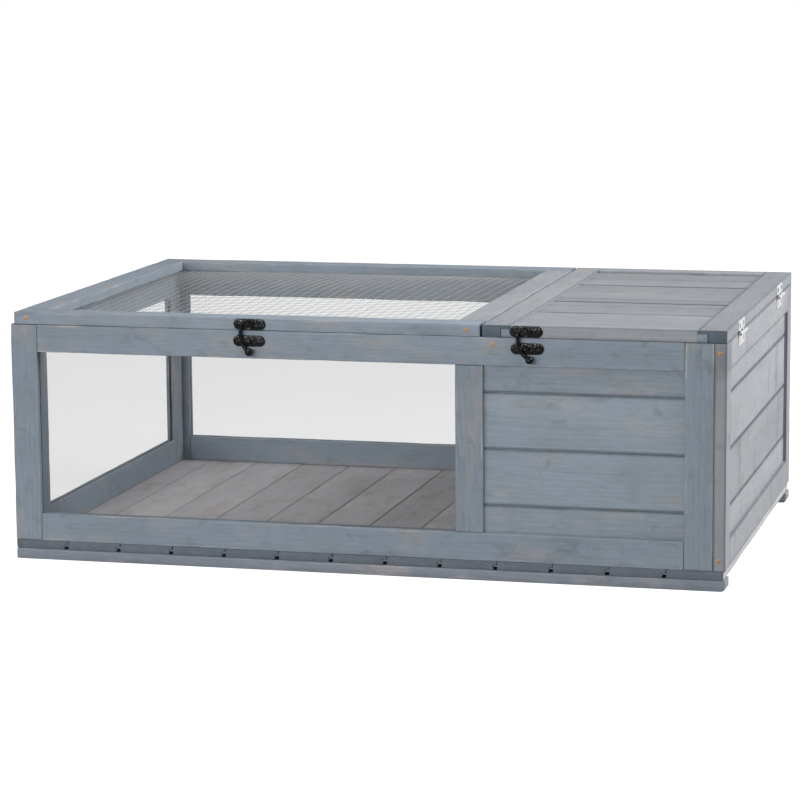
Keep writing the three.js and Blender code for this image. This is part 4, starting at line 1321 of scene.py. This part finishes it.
class HUTCH_OT_latches(bpy.types.Operator):
    """Builds the two swing latches: pivot plate, arm with a ball, catch plate"""

    bl_idname = "hutch.latches"
    bl_label = "Latches"

    screw_place = 0.8928  # of the way from a plate's middle to the middle of its round end
    start_tilts = (0.0, 8.5)  # degrees from straight down, for the mesh lid's and the solid lid's arm
    arm_drop = 33.7 * MM  # from the pivot down to the middle of the ball
    arm_out = 1.6 * MM  # from the back of the arm's eye to the middle of its bar
    ball_out = 6.9 * MM  # from the face of the timber to the middle of the ball
    ball_radius = 4.95 * MM
    eye_depth = 3.0 * MM
    # Profiles of (radius, height) in millimetres. The eye's heights count from its back, the
    # rivet's from the top of its neck and the stud's from the plate's face.
    eye_profile = ((2.6, 0.0), (5.7, 0.0), (6.2, 0.5), (6.2, 2.3), (5.6, 3.0), (3.4, 3.0), (2.6, 2.6))
    rivet_profile = ((2.3, 0.0), (3.8, 0.0), (3.7, 0.5), (3.0, 1.0), (1.6, 1.2), (0.3, 1.25))
    stud_profile = ((2.6, -0.3), (2.5, 4.2), (2.2, 4.8), (0.3, 5.0))
    # Places on the middle line of the arm: right of the pivot and below it, in shares of the drop.
    arm_line = (
        (-0.020, -0.136),
        (-0.178, -0.115),
        (-0.283, 0.031),
        (-0.320, 0.230),
        (-0.314, 0.480),
        (-0.225, 0.754),
        (-0.105, 0.911),
        (0.010, 1.0),
    )

    def execute(self, context):
        """Everything stands out from the front face of the timber, towards -y."""
        look = context.scene.hutch_metal
        finish = finishes()["black enamel"]
        for index, lid in enumerate(("mesh_lid", "solid_lid")):
            name = lid + "_latch"
            rng = np.random.default_rng(80 + index)
            pivot = self.middle(name + "_pivot_plate")
            arm = self.arm(pivot, look, self.start_tilts[index])
            piece(name + "_arm_hook", arm, finish, name, [name + "_arm"])
            plate = self.plate(name + "_pivot_plate", look, rng)
            plate.append(self.rivet(pivot, look))
            piece(name + "_pivot", plate, finish, lid, [name + "_pivot_plate"])
            catch = self.plate(name + "_catch_plate", look, rng)
            catch.append(self.stud(self.middle(name + "_catch_plate"), look))
            piece(name + "_catch", catch, finish, "hutch", [name + "_catch_plate"])
        return {"FINISHED"}

    def middle(self, node):
        """Middle of a plate's back, on the face of the timber."""
        return np.array([middle_of(node, 0), box_of(node)[1][1], middle_of(node, 2)])

    def plate(self, node, look, rng):
        """A stadium shaped plate with a pillowed face and a screw towards each end.

        Around it, angle t gives the outline of two half circles and a straight between them. From
        rim to middle, share s of the way, the face stands at 0.62 + 0.38 sqrt(1 - (1 - s)^4) of
        the plate's thickness.
        """
        low, high = box_of(node)
        centre = self.middle(node)
        radius = (high[2] - low[2]) / 2
        reach = (high[0] - low[0]) / 2 - radius
        t = np.linspace(0, 2 * math.pi, 48, endpoint=False) + math.pi / 48
        s = np.concatenate([[0.0, 0.0], np.linspace(0.0, 1.0, 9)[1:] ** 1.6 * 0.94])
        rise = 0.62 + 0.38 * np.sqrt(1 - (1 - s) ** 4)
        rise[0] = 0.0
        rings = np.zeros((len(s), len(t), 3))
        rings[..., 0] = (radius * (1 - s))[:, None] * np.cos(t) + reach * np.sign(np.cos(t))
        rings[..., 1] = -(look.plate * rise)[:, None]
        rings[..., 2] = (radius * (1 - s))[:, None] * np.sin(t)
        heads = []
        for side in (-1, 1):
            place = centre + (side * self.screw_place * reach, -look.plate + 0.05 * MM, 0)
            heads.append(screw(place, look.small_screw, (0, -1, 0), rng))
        return [loft(rings + centre), *heads]

    def rivet(self, centre, look):
        """The pivot: a neck through the arm's eye and a domed head, turned about y."""
        front = look.plate + look.arm_gap + self.eye_depth + look.arm_gap
        radius, height = np.array(self.rivet_profile).T * MM
        neck = [(radius[0], 0.0), (radius[0], -front)]
        head = np.stack([radius[1:], -front - height[1:]], axis=1)
        return lathe(np.concatenate([neck, head]), centre, 1)

    def stud(self, centre, look):
        """The peg that the arm hooks behind, with a rounded end, turned about y."""
        radius, height = np.array(self.stud_profile).T * MM
        return lathe(np.stack([radius, -look.plate - height], axis=1), centre, 1, 24)

    def arm(self, pivot, look, tilt):
        """A cast hook: an eye round the pivot, a bar on a smooth curve that bows left, and a ball.

        The curve is the Catmull-Rom spline through a few points, drawn in the plane of the arm. Over
        the last fifth of the way down it moves out by 2.6 mm. The ball at its end has radius
        R sin a and height -R cos a for an angle a from 0 to pi.
        """
        back = look.plate + look.arm_gap
        drop = self.arm_drop
        turn = np.linspace(0, 2 * math.pi, 36, endpoint=False)
        ring = self.ring(np.array(self.eye_profile) * MM, turn, back)
        curve = np.array(self.arm_line)
        ends = np.concatenate([[2 * curve[0] - curve[1]], curve, [2 * curve[-1] - curve[-2]]])
        t = np.linspace(0, 1, 6)[:-1, None]
        spans = [self.spline(ends[i : i + 4], t) for i in range(len(curve) - 1)]
        path = np.concatenate([*spans, curve[-1:]])
        share_down = np.linspace(0, 1, len(path))
        depth = back + self.arm_out + np.clip(share_down - 0.8, 0, 1) / 0.2 * 2.6 * MM
        line = np.stack([path[:, 0] * drop, -depth, -path[:, 1] * drop], axis=1)
        thick = look.arm / 2 * (0.86 + 0.26 * share_down)
        bar_shell = tube(line, thick, (0, 1, 0), 14, 0.72)
        around = np.linspace(0.06, math.pi - 0.06, 15)
        half_circle = np.stack([np.sin(around), -np.cos(around)], axis=1)
        centre = (curve[-1, 0] * drop, -self.ball_out, -curve[-1, 1] * drop)
        ball = lathe(self.ball_radius * half_circle, centre, 1)
        place = Matrix.Translation(pivot) @ Matrix.Rotation(math.radians(-tilt), 4, "Y")
        return [moved(s, place) for s in (ring, bar_shell, ball)]

    def ring(self, profile, turn, back):
        """A closed profile of (radius, height) turned about y: x = r cos t, z = r sin t, no caps."""
        radius, height = profile.T
        sides, count = len(turn), len(radius)
        points = np.zeros((sides, count, 3))
        points[..., 0] = radius * np.cos(turn)[:, None]
        points[..., 1] = -back - height
        points[..., 2] = radius * np.sin(turn)[:, None]
        i, j = np.meshgrid(np.arange(sides), np.arange(count), indexing="ij")
        a, b = (i + 1) % sides, (j + 1) % count
        quads = np.stack([i * count + j, a * count + j, a * count + b, i * count + b], axis=-1)
        return shell(points.reshape(-1, 3), quads)

    def spline(self, p, t):
        """Catmull-Rom from the second to the third of four points, a to d, for t from 0 to 1.

        It is half of 2 b + (c - a) t + (2 a - 5 b + 4 c - d) t^2 + (3 b - a - 3 c + d) t^3.
        """
        return 0.5 * (
            2 * p[1]
            + (p[2] - p[0]) * t
            + (2 * p[0] - 5 * p[1] + 4 * p[2] - p[3]) * t**2
            + (3 * p[1] - p[0] - 3 * p[2] + p[3]) * t**3
        )


class HUTCH_OT_screws(bpy.types.Operator):
    """Builds the yellow screws in the faces of the timber"""

    bl_idname = "hutch.screws"
    bl_label = "Frame screws"

    def execute(self, context):
        """Front and back alike: at the right corner, by the upright, and at the ends of the mesh lid."""
        look = context.scene.hutch_metal
        rng = np.random.default_rng(90)
        post_low, post_high = box_of("right_front_post")
        rail_top = box_of("front_top_rail")[1][2]
        upright_right = box_of("front_middle_upright")[1][0]
        lid_low, lid_high = box_of("mesh_lid_front_rail")

        # x and z of each screw, measured in from the edges of the timber that it holds
        post_x = post_high[0] - 8.1 * MM
        corner = [(post_x, post_low[2] + 12.4 * MM), (post_x, post_high[2] - 12.5 * MM)]
        upright = [(upright_right + 13 * MM, rail_top - 8.5 * MM)]
        lid_x = (lid_low[0] + 16.2 * MM, lid_high[0] - 16.3 * MM)
        lid_ends = [(x, middle_of("mesh_lid_front_rail", 2)) for x in lid_x]

        heads = self.front_and_back("right_front_post", "right_back_post", corner, look, rng)
        heads += self.front_and_back("front_top_rail", "back_top_rail", upright, look, rng)
        piece("hutch_screws", heads, finishes()["yellow plate"], "hutch")
        heads = self.front_and_back("mesh_lid_front_rail", "mesh_lid_back_rail", lid_ends, look, rng)
        piece("mesh_lid_screws", heads, finishes()["yellow plate"], "mesh_lid")
        return {"FINISHED"}

    def front_and_back(self, front, back, places, look, rng):
        """Screws at the same places on the front face of one node and the back face of another."""
        y_front, y_back = box_of(front)[0][1], box_of(back)[1][1]
        heads = [screw((x, y_front, z), look.screw, (0, -1, 0), rng) for x, z in places]
        return heads + [screw((x, y_back, z), look.screw, (0, 1, 0), rng) for x, z in places]


# ---- Panel and registration --------------------------------------------------------------------

STEPS = ("stage", "base", "walls", "boards", "lids", "windows", "wire", "hinges", "latches", "screws")


class HUTCH_PT_panel(bpy.types.Panel):
    """Lists the steps in the order in which they build the hutch"""

    bl_label = "Rabbit Hutch"
    bl_idname = "HUTCH_PT_panel"
    bl_space_type = "VIEW_3D"
    bl_region_type = "UI"
    bl_category = "Hutch"

    def draw(self, context):
        """One button for each step."""
        for step in STEPS:
            self.layout.operator("hutch." + step)


SETTINGS = {
    "hutch_timber": HutchTimberSettings,
    "hutch_finish": HutchFinishSettings,
    "hutch_metal": HutchMetalSettings,
    "hutch_stage": HutchStageSettings,
}
OPERATORS = (
    HUTCH_OT_stage,
    HUTCH_OT_base,
    HUTCH_OT_walls,
    HUTCH_OT_boards,
    HUTCH_OT_lids,
    HUTCH_OT_windows,
    HUTCH_OT_wire,
    HUTCH_OT_hinges,
    HUTCH_OT_latches,
    HUTCH_OT_screws,
    HUTCH_PT_panel,
)


def register():
    """Registers the classes and hangs the settings on the scene."""
    for item in (*SETTINGS.values(), *OPERATORS):
        bpy.utils.register_class(item)
    for name, group in SETTINGS.items():
        setattr(bpy.types.Scene, name, PointerProperty(type=group))


def unregister():
    """Takes the settings and the classes away again."""
    for name in SETTINGS:
        delattr(bpy.types.Scene, name)
    for item in (*reversed(OPERATORS), *reversed(SETTINGS.values())):
        bpy.utils.unregister_class(item)


def main():
    """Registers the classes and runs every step."""
    register()
    for step in STEPS:
        getattr(bpy.ops.hutch, step)()
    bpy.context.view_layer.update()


if __name__ == "__main__":
    main()
